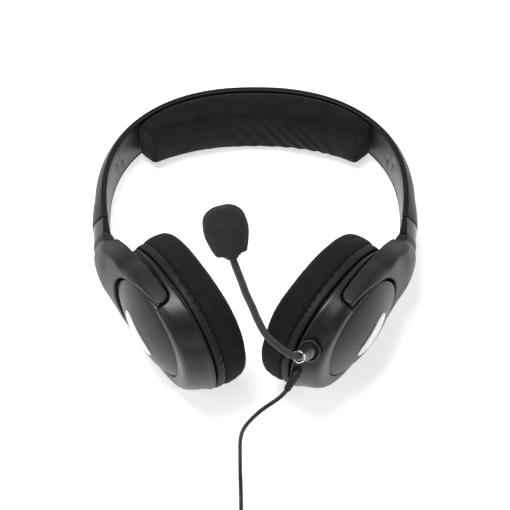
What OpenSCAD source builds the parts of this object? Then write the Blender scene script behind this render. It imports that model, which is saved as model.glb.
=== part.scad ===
/* [Headband] */
// Front to back width of the headband
band_w = 31; // [24:1:40]
// Half of the inside width between the two sides of the headband
band_a = 85; // [75:1:92]
// Rise of the headband arch above its widest point
band_b = 69.9; // [60:1:80]
// Fullness of the arch, 2 is an ellipse and more is squarer
band_p = 2.25; // [2:0.05:3]
// Thickness of the outer shell at its front and rear edges
band_edge = 2.8; // [2:0.1:4]
// Thickness of the headband at its crown
band_crown = 8; // [6:0.5:12]
// Wall of the moulded covers
skin = 1.8; // [1.2:0.1:2.4]

/* [Head pad] */
// Angle of the arch that the head pad covers, to each side of the top
pad_half = 52; // [35:1:56]
// Thickness of the head pad
pad_t = 20; // [8:1:20]
// Front to back width of the head pad
pad_w = 34; // [26:1:38]

/* [Adjustment] */
// Height of the lower end of the headband above the row of the ear axes
band_end = 16.5; // [14:0.5:20]
// Height of the lower end of the gloss collars
collar_end = 4.8; // [3:0.2:8]
// Lean of the sliders from the vertical
slide_lean = 2.5; // [0:0.5:4]
// Travel of each slider
slide_travel = 30; // [20:1:32]

/* [Ear cups] */
// Half of the height of a cup at its rim
cup_b = 44.5; // [40:0.5:50]
// Half of the front to back depth of a cup at its rim
cup_a = 39.3; // [35:0.1:45]
// Distance of the cup pivots from the middle of the head
pivot_x = 52.5; // [48:0.5:60]
// Height of the cup pivots
pivot_z = -49; // [-55:1:-40]
// Lean of the yokes
yoke_tilt = 33; // [30:0.5:36]
// Lean of the left cup
left_tilt = 33; // [32:0.1:34]
// Lean of the right cup
right_tilt = 37; // [36:0.1:37.2]
// Distance from the rim to the face of the ear cushion
cushion_out = 22.5; // [16:0.5:26]

/* [Microphone] */
// Diameter of the flexible boom
boom_d = 4; // [3:0.1:6]
// Diameter of the foam windscreen
foam_d = 23; // [18:1:30]
// Length of the foam windscreen
foam_l = 27.5; // [22:0.5:34]

/* [Cable] */
// Diameter of the cable
cable_d = 2.3; // [2:0.1:3]

/* [Lying pose] */
// Lean of the headset as it lies on its back
lie = 10.2; // [5:0.1:12]
// Height of the ear axes' row frame above the surface that it lies on
lie_h = 34.62; // [30:0.1:45]
// Shift along the surface that centres the headset
lie_y = -12.2; // [-30:0.1:30]

/* [Hidden] */
$fn = 40;

hw = band_w / 2;
zc = 35;
N = 48;
in_d = 33.3;
in_f = 35.3;
piv_d = 2;
piv_o = 10;

// ---- helpers -------------------------------------------------------------
function clamp(v, a, b) = min(b, max(a, v));
function sgn(v) = v < 0 ? -1 : 1;
function unit(v) = v / norm(v);
// point of a rounded oval of half sizes b (x) and a (y)
function oval(b, a, t, p = 2.2) = [b * sgn(cos(t)) * pow(abs(cos(t)), 2 / p), a * sgn(sin(t)) * pow(abs(sin(t)), 2 / p)];
function oval_ring(b, a, z, p = 2.2, n = N) = [for (i = [0 : n - 1]) let (q = oval(b, a, 360 * i / n + 1, p)) [q[0], q[1], z]];
// polyhedron whose faces all look outwards
function vol(pts, tri) = [for (t = tri) cross(pts[t[0]], pts[t[1]]) * pts[t[2]]] * [for (t = tri) 1];
module solid(pts, tri) polyhedron(pts, vol(pts, tri) < 0 ? tri : [for (t = tri) [t[2], t[1], t[0]]], convexity = 8);
function centre(r) = [for (k = [0 : 2]) let (v = [for (q = r) q[k]]) (max(v) + min(v)) / 2];
function flat(l) = [for (a = l) for (b = a) b];

// solid through a list of rings with the same number of points, closed at both ends by a fan
module loft(rings) {
  n = len(rings[0]);
  m = len(rings);
  pts = concat(flat(rings), [centre(rings[0]), centre(rings[m - 1])]);
  side = [for (j = [0 : m - 2]) for (i = [0 : n - 1]) let (a = j * n + i, b = j * n + (i + 1) % n) [a, b, b + n, a + n]];
  c0 = [for (i = [0 : n - 1]) [m * n, (i + 1) % n, i]];
  c1 = [for (i = [0 : n - 1]) [m * n + 1, (m - 1) * n + i, (m - 1) * n + (i + 1) % n]];
  tri = flat([for (q = side) [[q[0], q[1], q[2]], [q[0], q[2], q[3]]]]);
  solid(pts, concat(tri, c0, c1));
}
// solid swept around an oval from a closed profile of [inset, height] points
module oval_loop(profile, b, a, p = 2.2, n = N) {
  m = len(profile);
  pts = flat([for (q = profile) oval_ring(b - q[0], a - q[0], q[1], p, n)]);
  tri = flat([for (j = [0 : m - 1]) for (i = [0 : n - 1])
    let (k = (j + 1) % m, i2 = (i + 1) % n) [[j * n + i, j * n + i2, k * n + i2], [j * n + i, k * n + i2, k * n + i]]]);
  solid(pts, tri);
}
// solid whose closed section has an outer and an inner list of points of the same length
module strip_sweep(secs) {
  n = len(secs[0]);
  h = n / 2;
  m = len(secs);
  side = flat([for (j = [0 : m - 2]) for (i = [0 : n - 1]) let (a = j * n + i, b = j * n + (i + 1) % n) [[a, b, b + n], [a, b + n, a + n]]]);
  c0 = flat([for (i = [0 : h - 2]) [[i, n - 1 - i, n - 2 - i], [i, n - 2 - i, i + 1]]]);
  e = (m - 1) * n;
  c1 = flat([for (i = [0 : h - 2]) [[e + i, e + n - 2 - i, e + n - 1 - i], [e + i, e + i + 1, e + n - 2 - i]]]);
  solid(flat(secs), concat(side, c0, c1));
}
// round tube along a route of points
function tube_ring(p, t, up, r, n) = let (s = unit(cross(t, up)), q = cross(s, t)) [for (i = [0 : n - 1]) p + r * (cos(360 * i / n) * s + sin(360 * i / n) * q)];
module tube(route, d, n = 8, up = [0, 0.13, 1]) {
  m = len(route);
  loft([for (i = [0 : m - 1]) let (t = unit(route[min(i + 1, m - 1)] - route[max(i - 1, 0)])) tube_ring(route[i], t, up, d / 2, n)]);
}
// smooth curve through points, k steps on each span
function spline_pt(a, b, c, d, t) = 0.5 * ((2 * b) + (c - a) * t + (2 * a - 5 * b + 4 * c - d) * t * t + (3 * b - a - 3 * c + d) * t * t * t);
function spline(p, k) = let (n = len(p)) concat([for (i = [0 : n - 2]) for (j = [0 : k - 1])
  spline_pt(i == 0 ? 2 * p[0] - p[1] : p[i - 1], p[i], p[i + 1], i == n - 2 ? 2 * p[n - 1] - p[n - 2] : p[i + 2], j / k)], [p[n - 1]]);

// ---- frames --------------------------------------------------------------
// the headset lies on its back on a flat surface
module place() translate([0, lie_y, lie_h]) rotate([-90 - lie, 0, 0]) children();
// frame of a cup or a yoke: x down along the rim, y to the front, z outboard, origin at the rim's middle
module ear(side, t) {
  dx = [sin(t), 0, -cos(t)];
  oz = [-cos(t), 0, -sin(t)];
  o = [-pivot_x, 0, pivot_z] - piv_d * dx - piv_o * oz;
  if (side < 0) multmatrix([[dx[0], 0, oz[0], o[0]], [0, -1, 0, 0], [dx[2], 0, oz[2], o[2]], [0, 0, 0, 1]]) children();
  else mirror([1, 0, 0]) multmatrix([[dx[0], 0, oz[0], o[0]], [0, -1, 0, 0], [dx[2], 0, oz[2], o[2]], [0, 0, 0, 1]]) children();
}
module left_cup() place() ear(-1, left_tilt) children();
module right_cup() place() ear(1, right_tilt) children();
module side_of(s) { if (s < 0) children(); else mirror([1, 0, 0]) children(); }

// ---- headband ------------------------------------------------------------
function side_x(z) = band_a - 0.0045 * pow(zc - z, 2);
function arch(t) = [band_a * sgn(cos(t)) * pow(abs(cos(t)), 2 / band_p), zc + band_b * pow(sin(t), 2 / band_p)];
function arch_n(t) = let (d = arch(t + 0.5) - arch(t - 0.5)) unit([d[1], -d[0]]);
// stations [x, z, nx, nz, crown, edge] along the inner line of the headband
function low(z, s) = [s * side_x(z), z, s, 0, band_crown + 2 * clamp((zc - z) / (zc - band_end), 0, 1.8), band_edge + 1.9 * clamp((band_end - z) / 11, 0, 1)];
function arc(t) = let (p = arch(t), n = arch_n(t)) [p[0], p[1], n[0], n[1], band_crown, band_edge];
ts = [for (t = [5 : 5 : 175]) t];
stations = concat([for (z = [band_end, 21, 28, zc]) low(z, 1)], [for (t = ts) arc(t)], [for (z = [zc, 28, 21, band_end]) low(z, -1)]);
function at(s, y, h) = [s[0] + s[2] * h, y, s[1] + s[3] * h];
function crown_h(s, y, w) = s[5] + (s[4] - s[5]) * (1 - pow(abs(y) / w, 2));
ys = [for (i = [0 : 10]) -1 + i / 5];

module headband_outer_shell() color([0.16, 0.16, 0.17]) place() difference() {
  strip_sweep([for (s = stations) concat(
    [at(s, -hw, 0)], [for (u = ys) at(s, u * hw, crown_h(s, u * hw, hw))], [at(s, hw, 0)],
    [at(s, hw - skin, 0)], [for (i = [10 : -1 : 0]) let (y = ys[i] * (hw - skin)) at(s, y, crown_h(s, y, hw) - skin)], [at(s, -hw + skin, 0)])]);
}
module headband_inner_cover() color([0.13, 0.13, 0.14]) place() difference() {
  w = hw - skin - 0.1;
  strip_sweep([for (s = stations) [at(s, -w, 1.7), at(s, w, 1.7), at(s, w, 0.05), at(s, -w, 0.05)]]);
  for (k = [-1, 1]) screw_at(k) cylinder(h = 30, r = 1.45, center = true, $fn = 24);
  for (k = [-1, 1]) screw_at(k) translate([0, 0, -1]) cylinder(h = 1.9, r = 2.3, $fn = 24);
}
module screw_at(k) {
  for (u = [[24, 3], [18.5, -2]]) let (q = arc(u[0]))
    translate([k * q[0], u[1], q[1]]) rotate([0, k * atan2(q[2], q[3]), 0]) children();
}
module headband_screws() color([0.5, 0.5, 0.52]) place() for (k = [-1, 1]) screw_at(k) {
  difference() {
    translate([0, 0, 0.1]) cylinder(h = 0.75, r = 2.1, $fn = 24);
    for (a = [0, 90]) rotate(a) cube([2.6, 0.6, 1], center = true);
  }
  translate([0, 0, 0.8]) cylinder(h = 3, r = 1.2, $fn = 24);
}
module headband_spring() color([0.7, 0.71, 0.73]) place()
  strip_sweep([for (t = [30 : 5 : 150]) let (s = arc(t)) [at(s, -5, 3.1), at(s, 5, 3.1), at(s, 5, 2.3), at(s, -5, 2.3)]]);
module crossover_wire() color([0.1, 0.1, 0.1]) place()
  tube([for (s = concat([low(21, 1), low(28, 1)], [for (t = [5 : 5 : 175]) arc(t)], [low(28, -1), low(21, -1)])) at(s, 9, 2.7)], 1.4, 8, [0, 1, 0.01]);
// soft pad under the arch, thickest in the middle
function pad_h(u) = -pad_t * (1 - 0.43 * pow(abs(u), 2.2));
function pad_sec(t) = let (s = arc(t), u = (t - 90) / pad_half, w = pad_w / 2 * (1 - 0.07 * pow(abs(u), 8)), d = pad_h(u)) [
  at(s, -w * 0.90, -0.3), at(s, w * 0.90, -0.3), at(s, w, d * 0.22), at(s, w, d * 0.66), at(s, w * 0.9, d * 0.9), at(s, w * 0.5, d * 0.99),
  at(s, 0, d), at(s, -w * 0.5, d * 0.99), at(s, -w * 0.9, d * 0.9), at(s, -w, d * 0.66), at(s, -w, d * 0.22)];
module headband_pad() color([0.08, 0.08, 0.08]) place() loft([for (i = [0 : 24]) pad_sec(90 - pad_half + i * pad_half / 12)]);

// ---- collars and sliders -------------------------------------------------
sl = [sin(slide_lean), 0, -cos(slide_lean)];
// frame of the slider on the left: z up along the slide, x outboard
module slide_frame(s) place() side_of(s) translate([-87, 0, collar_end]) rotate([0, -slide_lean, 0]) children();
module band_collar(s) color([0.03, 0.03, 0.035]) difference() {
  place() side_of(s) loft([for (z = [band_end - 0.3, 12, 8, collar_end]) let (q = low(z, -1), g = 0.4, w = hw - g) concat(
    [at(q, -w, g), at(q, w, g)], [for (i = [10 : -1 : 0]) at(q, ys[i] * w, crown_h(q, ys[i] * hw, hw) - g)])]);
  slide_frame(s) cube([1.9, 14.4, 60], center = true);
  slide_frame(s) translate([0.9, 9, 0]) cylinder(h = 60, r = 1.2, center = true, $fn = 24);
}
module band_collar_left() band_collar(-1);
module band_collar_right() band_collar(1);
module slider(s) color([0.62, 0.63, 0.65]) slide_frame(s) difference() {
  translate([-0.8, -7, -14]) cube([1.6, 14, 14 + slide_travel + 9]);
  for (z = [8 : 4 : 32]) translate([0, 0, z]) rotate([0, 90, 0]) cylinder(h = 10, r = 1.1, center = true, $fn = 24);
}
module slider_left() slider(-1);
module slider_right() slider(1);

// ---- yokes ---------------------------------------------------------------
// section across the neck of the yoke: [x, z of the inner line], direction outboard, half width, edge, crown and edge radius
nys = [-1, -0.985, -0.955, -0.91, -0.85, -0.7, -0.45, -0.15, 0.15, 0.45, 0.7, 0.85, 0.91, 0.955, 0.985, 1];
function edge_drop(y, w, r) = let (t = max(0, (abs(y) - w + r) / r)) r * (1 - sqrt(max(0, 1 - t * t)));
function neck(p, a, w, e, c, r) = let (s = [p[0], p[1], -cos(a), -sin(a), c, e]) concat(
  [at(s, -w, 0), at(s, w, 0)], [for (i = [15 : -1 : 0]) let (y = nys[i] * w) at(s, y, e + (c - e) * (1 - pow(abs(nys[i]), 2.4)) - edge_drop(y, w, r))]);
function yk(d, o) = let (t = yoke_tilt) [-pivot_x + (d - piv_d) * sin(t) - (o - piv_o) * cos(t), pivot_z - (d - piv_d) * cos(t) - (o - piv_o) * sin(t)];
arm_o = 16;
arm_end_r = 5.4;
module yoke_solid() difference() {
  union() {
    loft([neck([-side_x(collar_end) + 0.1, collar_end - 0.3], 0, hw - 0.1, 4.9, 11.5, 0.3),
          neck([-side_x(0) + 1.2, 0], 6, hw + 0.6, 6.5, 13, 0.8),
          neck(yk(-51, 4.6), 16, 20, 9.5, 15, 1.5),
          neck(yk(-46, 4.6), 27, 24, 12, 16, 2),
          neck(yk(-40, 4.6), yoke_tilt, 28, 11.4, 15, 3),
          neck(yk(-33, 4.6), yoke_tilt, 31, 11.6, 14.6, 4),
          neck(yk(-27, 4.6), yoke_tilt, 33, 11.6, 14, 5),
          neck(yk(-20, 4.6), yoke_tilt, 35.7, 11.6, 13, 5),
          neck(yk(-13, 4.6), yoke_tilt, 37.7, 11.6, 12, 5)]);
    ear(-1, yoke_tilt) intersection() {
      difference() {
        loft([for (q = [[4.6, 0.5], [5.1, 0], [11.2, 0], [12.6, 0.2], [13.8, 0.73], [14.8, 1.53], [15.6, 2.63], [16.2, 5]])
          oval_ring(cup_b - 0.4 - q[1], cup_a - 0.2 - q[1], q[0], 2.2, 96)]);
        translate([0, 0, 4]) linear_extrude(14) polygon([for (i = [0 : 71]) oval(in_d, in_f, i * 5 + 1)]);
      }
      union() {
        translate([-24, 0, 10.4]) cube([52, 90, 11.6], center = true);
        translate([piv_d, 0, piv_o]) rotate([90, 0, 0]) cylinder(h = 90, r = arm_end_r, center = true);
        translate([piv_d - 1, 0, piv_o + 3.1]) cube([12.8, 90, 6.2], center = true);
      }
      // the arms get thinner towards their ends
      rotate([90, 0, 0]) linear_extrude(100, center = true) polygon([[-60, 4], [9, 4], [9, 12.4], [piv_d + arm_end_r, 12.6], [-16, 16.3], [-60, 16.3]]);
    }
  }
  // room for the cup inside the fork
  ear(-1, yoke_tilt) translate([0, 0, -5]) linear_extrude(60) polygon([for (i = [0 : 71]) oval(in_d, in_f, i * 5 + 1)]);
  // seat of the slider and of the inner cover
  translate([-87, 0, collar_end]) rotate([0, -slide_lean, 0]) translate([0, 0, -6.9]) cube([1.8, 14.2, 14.4], center = true);
  translate([-87, 0, collar_end]) rotate([0, -slide_lean, 0]) translate([0, 0, 20.1]) cube([40, 40, 40], center = true);
  yoke_cover_room(0.15);
  // holes for the pivot pins
  ear(-1, yoke_tilt) translate([piv_d, 0, piv_o]) rotate([90, 0, 0]) cylinder(h = 73.6, r = 2, center = true, $fn = 32);
}
module yoke_cover_room(g) ear(-1, yoke_tilt) translate([0, 0, 4.6]) linear_extrude(4 + 2 * g, center = true)
  polygon([[-52.5 - g, -13 - g], [-52.5 - g, 13 + g], [-36.6 + g, 19 + g], [-36.6 + g, -19 - g]]);
module yoke(s) color([0.17, 0.17, 0.18]) place() side_of(s) yoke_solid();
module yoke_left() yoke(-1);
module yoke_right() yoke(1);
module yoke_cover(s) color([0.13, 0.13, 0.14]) place() side_of(s) ear(-1, yoke_tilt) difference() {
  translate([0, 0, 4.7]) linear_extrude(1.9) polygon([[-52.5, -13], [-52.5, 13], [-36.6, 19], [-36.6, -19]]);
  for (f = [-9, 9]) translate([-44, f, 0]) {
    cylinder(h = 20, r = 1.3, $fn = 24);
    cylinder(h = 5.5, r = 2.2, $fn = 24);
  }
}
module yoke_cover_left() yoke_cover(-1);
module yoke_cover_right() yoke_cover(1);
module yoke_screws(s) color([0.5, 0.5, 0.52]) place() side_of(s) ear(-1, yoke_tilt) for (f = [-9, 9]) translate([-44, f, 4.75]) {
  difference() {
    cylinder(h = 0.7, r = 2, $fn = 24);
    for (a = [0, 90]) rotate(a) cube([2.2, 0.6, 0.8], center = true);
  }
  translate([0, 0, 0.5]) cylinder(h = 1.45, r = 1.2, $fn = 24);
}
module yoke_screws_left() yoke_screws(-1);
module yoke_screws_right() yoke_screws(1);
module pivot_pins(s) color([0.55, 0.56, 0.58]) place() side_of(s) ear(-1, yoke_tilt) for (k = [-1, 1])
  translate([piv_d, k * 33.2, piv_o]) rotate([k * -90, 0, 0]) cylinder(h = 3.6, r = 2, $fn = 32);
module pivot_pins_left() pivot_pins(-1);
module pivot_pins_right() pivot_pins(1);

// ---- ear cups ------------------------------------------------------------
core_d = 31.6;
core_f = 34.6;
// outer body of the cup: full oval below the fork, a smaller core inside the fork
module cup_outer() {
  // [height, half height, half depth, shift] of slices from the rim outwards, tapering towards the bottom
  sl = [[0, cup_b - 0.4, cup_a - 0.4, 0], [1.2, cup_b, cup_a, 0], [4, cup_b - 1.2, cup_a - 0.2, -1.1], [10, cup_b - 3.0, cup_a - 0.8, -2.5], [13.4, cup_b - 5.4, cup_a - 2.2, -2.8], [14.6, cup_b - 9.4, cup_a - 4.9, -1.6]];
  loft([for (q = spline(sl, 2)) [for (i = [0 : 71]) let (v = oval(q[1], q[2], i * 5 + 1)) [v[0] + q[3], v[1], q[0]]]]);
}
module recess() difference() {
  // everything outside the core, above the end of the arms and outboard of a sloping edge
  union() {
    rotate([90, 0, 0]) linear_extrude(120, center = true)
      polygon([[-60, 0.6], [-35, 1.4], [piv_d, piv_o - arm_end_r - 0.8], [piv_d + 5.2, 9], [piv_d + 6.3, 12], [piv_d + 6.3, 30], [-60, 30]]);
    translate([piv_d, 0, piv_o]) rotate([90, 0, 0]) cylinder(h = 120, r = arm_end_r + 0.8, center = true);
  }
  translate([0, 0, -1]) linear_extrude(40) polygon([for (i = [0 : 71]) oval(core_d, core_f, i * 5 + 1)]);
}
module cup_shell(side) color([0.2, 0.2, 0.21]) difference() {
  cup_outer();
  recess();
  // hollow inside
  translate([0, 0, -1]) linear_extrude(5.5) polygon([for (i = [0 : 71]) oval(cup_b - 3.4, cup_a - 3.2, i * 5 + 1)]);
  translate([cap_c, 0, -1]) linear_extrude(30) polygon([for (i = [0 : 71]) oval(cap_b - 2, cap_back - 2, i * 5 + 1)]);
  // seat of the outer cap
  translate([0, 0, cap_seat]) linear_extrude(20) polygon([for (q = cap_flat(0, -0.08)) [q[0], q[1]]]);
  // bores of the pivot pins
  translate([piv_d, 0, piv_o]) rotate([90, 0, 0]) cylinder(h = 120, r = 2.06, center = true, $fn = 32);
  children();
}
module cup_shell_left() left_cup() cup_shell(-1);
module cup_shell_right() right_cup() cup_shell(1) {
  socket_frame() translate([0, 0, -9]) cylinder(h = 20, r = 4.6);
  relief_frame() {
    translate([0, 0, -6]) cylinder(h = 12, r = 1.9);
    translate([0, 0, -5.4]) cylinder(h = 2.6, r = 3.4);
  }
}
// domed outer cap, fuller at the top than at the bottom
cap_b = 29.2;
cap_a = 32.9;
cap_back = 31;
cap_c = -2.2;
cap_base = 14.2;
cap_tilt = 0.5;
cap_seat = 10.5;
// the dome is fuller next to the neck of the yoke
function cap_lift(x) = 2.5 * pow(max(0, -x / cap_b), 4);
function cap_z(k) = cap_base + 8.8 * pow(max(0, 1 - pow(k, 1.9)), 0.85);
function cap_oval(k, g, t) = let (q = oval(cap_b * k - g, (sin(t) > 0 ? cap_a : cap_back) * k - g, t)) q;
function cap_ring(k, z, g = 0) = [for (i = [0 : N - 1]) let (q = cap_oval(k, g, 360 * i / N + 1)) [q[0] + cap_c, q[1], z - cap_tilt * q[0] / cap_b + cap_lift(q[0])]];
function cap_flat(z, g = 0) = [for (i = [0 : N - 1]) let (q = cap_oval(1, g, 360 * i / N + 1)) [q[0] + cap_c, q[1], z]];
cap_ks = [1, 0.97, 0.92, 0.84, 0.74, 0.62, 0.48, 0.32, 0.15];
module cup_cap() color([0.13, 0.13, 0.135]) difference() {
  loft(concat([cap_flat(cap_seat)], [for (k = cap_ks) cap_ring(k, cap_z(k))]));
  loft(concat([cap_flat(cap_seat - 1, 1.6)], [for (k = cap_ks) [for (q = cap_ring(k * 0.94, cap_z(k) - 2)) [q[0], q[1], max(q[2], cap_seat + 0.1 + 0.05 * (1 - k))]]]));
}
module cup_cap_left() left_cup() cup_cap();
module cup_cap_right() right_cup() cup_cap();
function badge_at(p) = cap_z(norm([(p[0] - cap_c) / cap_b, p[1] / (p[1] > 0 ? cap_a : cap_back)])) - cap_tilt * (p[0] - cap_c) / cap_b + cap_lift(p[0] - cap_c);
function badge_ring(k, z) = [for (i = [0 : 31]) let (q = oval(14 * k, 5.5 * k, 360 * i / 32, 2.4), p = [-2.5 + 0.85 * q[0] + 0.53 * q[1], 1.5 - 0.53 * q[0] + 0.85 * q[1]])
  [p[0], p[1], z + badge_at(p)]];
module badge() color([0.88, 0.88, 0.9]) loft([badge_ring(0.2, 0.15), badge_ring(0.6, 0.15), badge_ring(1, 0.15), badge_ring(1, 0.7), badge_ring(0.6, 0.7), badge_ring(0.2, 0.7)]);
module badge_left() left_cup() badge();
module badge_right() right_cup() badge();
module baffle() color([0.1, 0.1, 0.1]) difference() {
  translate([0, 0, -1.1]) linear_extrude(1.5) polygon([for (i = [0 : 71]) oval(cup_b - 3.7, cup_a - 3.5, i * 5 + 1)]);
  translate([0, 0, -2]) cylinder(h = 6, r = 20.3, $fn = 64);
  for (a = [45 : 90 : 315]) translate([31 * cos(a), 26 * sin(a), -2]) cylinder(h = 6, r = 1.3, $fn = 24);
  children();
}
module baffle_left() left_cup() baffle();
module baffle_right() right_cup() baffle() {
  relief_frame() translate([0, 0, -6]) cylinder(h = 4, r = 3.6);
  socket_frame() translate([0, 0, -10]) cylinder(h = 12, r = 4.9);
}
module baffle_screws() color([0.5, 0.5, 0.52]) for (a = [45 : 90 : 315]) translate([31 * cos(a), 26 * sin(a), -1.95]) {
  difference() {
    cylinder(h = 0.8, r = 2.2, $fn = 24);
    for (b = [0, 90]) rotate(b) cube([2.8, 0.6, 0.8], center = true);
  }
  translate([0, 0, 0.5]) cylinder(h = 4, r = 1.2, $fn = 24);
}
module baffle_screws_left() left_cup() baffle_screws();
module baffle_screws_right() right_cup() baffle_screws();
module driver_frame() color([0.2, 0.2, 0.22]) rotate_extrude($fn = 64)
  polygon([[12, 6.5], [12, 8], [17, 8], [20.2, 4.6], [20.2, -1.15], [22.4, -1.15], [22.4, -2], [19.2, -2], [19.2, 3.6], [16.2, 6.5]]);
module driver_frame_left() left_cup() driver_frame();
module driver_frame_right() right_cup() driver_frame();
module driver_magnet() color([0.45, 0.45, 0.47]) rotate_extrude($fn = 64) polygon([[0, 8.05], [13, 8.05], [13, 12.5], [12, 13.5], [0, 13.5]]);
module driver_magnet_left() left_cup() driver_magnet();
module driver_magnet_right() right_cup() driver_magnet();
module driver_cone() color([0.75, 0.72, 0.6]) rotate_extrude($fn = 64)
  polygon([[0, 0.6], [5, 1.0], [8, 2.0], [8.4, 2.0], [12, 0.9], [16, 0.8], [19.1, 1.6], [19.1, 1.85], [16, 1.05], [12, 1.15], [8.8, 2.3], [8.8, 5.6], [8.4, 5.6], [8.4, 2.3], [5, 1.25], [0, 0.85]]);
module driver_cone_left() left_cup() driver_cone();
module driver_cone_right() right_cup() driver_cone();
// mounting ring with the skirt of the ear cushion
module ear_pad_ring() color([0.2, 0.2, 0.2]) oval_loop([[0.4, -1.2], [0, -3], [0.2, -5.8], [12.5, -5.8], [12.5, -1.2]], 45.4, 40.0);
module ear_pad_ring_left() left_cup() ear_pad_ring();
module ear_pad_ring_right() right_cup() ear_pad_ring();
module ear_cushion() color([0.07, 0.07, 0.07]) {
  c = cushion_out;
  oval_loop([[1.4, -6.1], [0.2, -8], [0, -c + 9], [0.9, -c + 4.5], [3.2, -c + 1.7], [6.5, -c + 0.2], [9, -c], [12, -c + 0.6], [14.6, -c + 2.6], [16, -c + 6], [16.2, -10], [15, -6.1]], 46.2, 40.4);
}
module ear_cushion_left() left_cup() ear_cushion();
module ear_cushion_right() right_cup() ear_cushion();
module speaker_cloth() color([0.1, 0.1, 0.1]) translate([0, 0, -3.2]) linear_extrude(0.6) polygon([for (i = [0 : 71]) oval(32.5, 27.1, i * 5 + 1)]);
module speaker_cloth_left() left_cup() speaker_cloth();
module speaker_cloth_right() right_cup() speaker_cloth();

// ---- microphone ----------------------------------------------------------
// axis of the microphone socket, in the cup's frame
soc_p = [36.3, 24.5, 7.5];
soc_v = unit([0.675, 0.73, 0.09]);
module along(p, v) {
  a = atan2(v[1], v[0]);
  b = acos(v[2] / norm(v));
  translate(p) rotate([0, b, a]) children();
}
module socket_frame() along(soc_p, soc_v) children();
rel_p = [43.5, 5, 4];
rel_v = unit([1, 0, 0.15]);
module relief_frame() along(rel_p, rel_v) children();
module mic_socket() color([0.1, 0.1, 0.11]) right_cup() socket_frame() difference() {
  union() {
    translate([0, 0, -8]) cylinder(h = 10.5, r = 4.5);
    translate([0, 0, 1.2]) cylinder(h = 1.6, r = 6);
  }
  translate([0, 0, -7]) cylinder(h = 20, r = 1.8, $fn = 32);
}
// route of the boom from the nut to the microphone head, in the upright frame
mic_a = [[22, -40, -87.2], [17.5, -45.5, -88.2], [10, -54, -86.6], [5, -61, -84.4], [1, -70, -81]];
mic_b = [[1, -70, -81], [-1.5, -77, -78], [-4.4, -84, -75], [-6.6, -90.5, -71.8], [-9, -96.5, -68.2], [-11.2, -102, -64.4]];
head_p = [-11.2, -102, -64.4];
head_v = unit([-0.22, -0.64, 0.73]);
module mic_plug_pin() color([0.75, 0.7, 0.5]) right_cup() socket_frame() rotate_extrude($fn = 32)
  polygon([[0, -6.5], [0.9, -6.3], [1.7, -5], [1.2, -4.2], [1.74, -3.4], [1.74, 2.95], [0, 2.95]]);
module mic_ferrule() color([0.72, 0.73, 0.75]) right_cup() socket_frame() rotate_extrude($fn = 40)
  polygon([[0, 3.0], [3.5, 3.0], [4.1, 3.8], [4.1, 12], [3.6, 14], [3.4, 16.6], [4.2, 17.2], [4.2, 20.6], [3.4, 21.2], [0, 21.2]]);
module mic_boom_lower() color([0.12, 0.12, 0.12]) place() {
  tube(spline(mic_a, 4), boom_d - 0.02, 12);
  translate(mic_b[0]) sphere(r = boom_d / 2);
}
module mic_boom_upper() color([0.12, 0.12, 0.12]) place() difference() {
  tube(spline(mic_b, 4), boom_d, 12);
  translate(mic_b[0]) sphere(r = boom_d / 2 + 0.2);
}
module head_frame() place() along(head_p, head_v) children();
module mic_head_collar() color([0.1, 0.1, 0.1]) head_frame() difference() {
  rotate_extrude($fn = 40) polygon([[0, -0.5], [2.6, -0.5], [4.6, 0.6], [4.9, 3], [4.9, 5], [0, 5]]);
  translate([0, 0, -1]) cylinder(h = 3, r = 2.0, $fn = 32);
}
module mic_capsule() color([0.3, 0.3, 0.3]) head_frame() {
  translate([0, 0, 5]) cylinder(h = 9, r = 4.2);
  translate([0, 0, 14]) cylinder(h = 3, r = 4.85);
}
module mic_windscreen() color([0.1, 0.1, 0.1]) head_frame() {
  r = foam_d / 2;
  difference() {
    rotate_extrude($fn = 48) polygon([[0, 2.4], [r * 0.66, 2.4], [r * 0.74, 4.2], [r * 0.86, 7], [r * 0.97, 11], [r, foam_l * 0.5], [r, foam_l * 0.6],
      [r * 0.96, foam_l * 0.73], [r * 0.84, foam_l * 0.85], [r * 0.62, foam_l * 0.945], [r * 0.34, foam_l * 0.99], [0, foam_l]]);
    translate([0, 0, -1]) cylinder(h = 7, r = 5.0);
    cylinder(h = 17.2, r = 5.0);
  }
}

// ---- cable ---------------------------------------------------------------
module cable_strain_relief() color([0.08, 0.08, 0.08]) right_cup() relief_frame() {
  translate([0, 0, -5]) cylinder(h = 2, r = 3.2);
  translate([0, 0, -3.1]) cylinder(h = 4, r = 1.88);
  translate([0, 0, 0.6]) rotate_extrude() polygon([[0, 0], [3, 0], [3, 1.6], [2.5, 2.4], [1.75, 11.4], [0, 11.4]]);
}
run_route = [[16.9, -99.15, 55.33], [14.8, -101.8, 55.5], [11, -104.6, 54.5], [6.7, -106.8, 52.2], [2.8, -108.8, 49], [-0.8, -111, 45], [-4, -113.2, 41],
  [-6.4, -115.4, 36.6], [-7.9, -118, 31], [-8.3, -121.2, 24.5], [-8.3, -124.9, 17], [-8.3, -129.4, 10], [-8.2, -134.8, 4.8], [-8, -141, 2], [-7.8, -147.5, 1.3],
  [-7.8, -152.7, 2.8], [-7.8, -157.7, 4.5]];
module cable_run() color([0.08, 0.08, 0.08]) tube(spline(run_route, 2), cable_d, 8, [0.1, 0, 1]);
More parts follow.
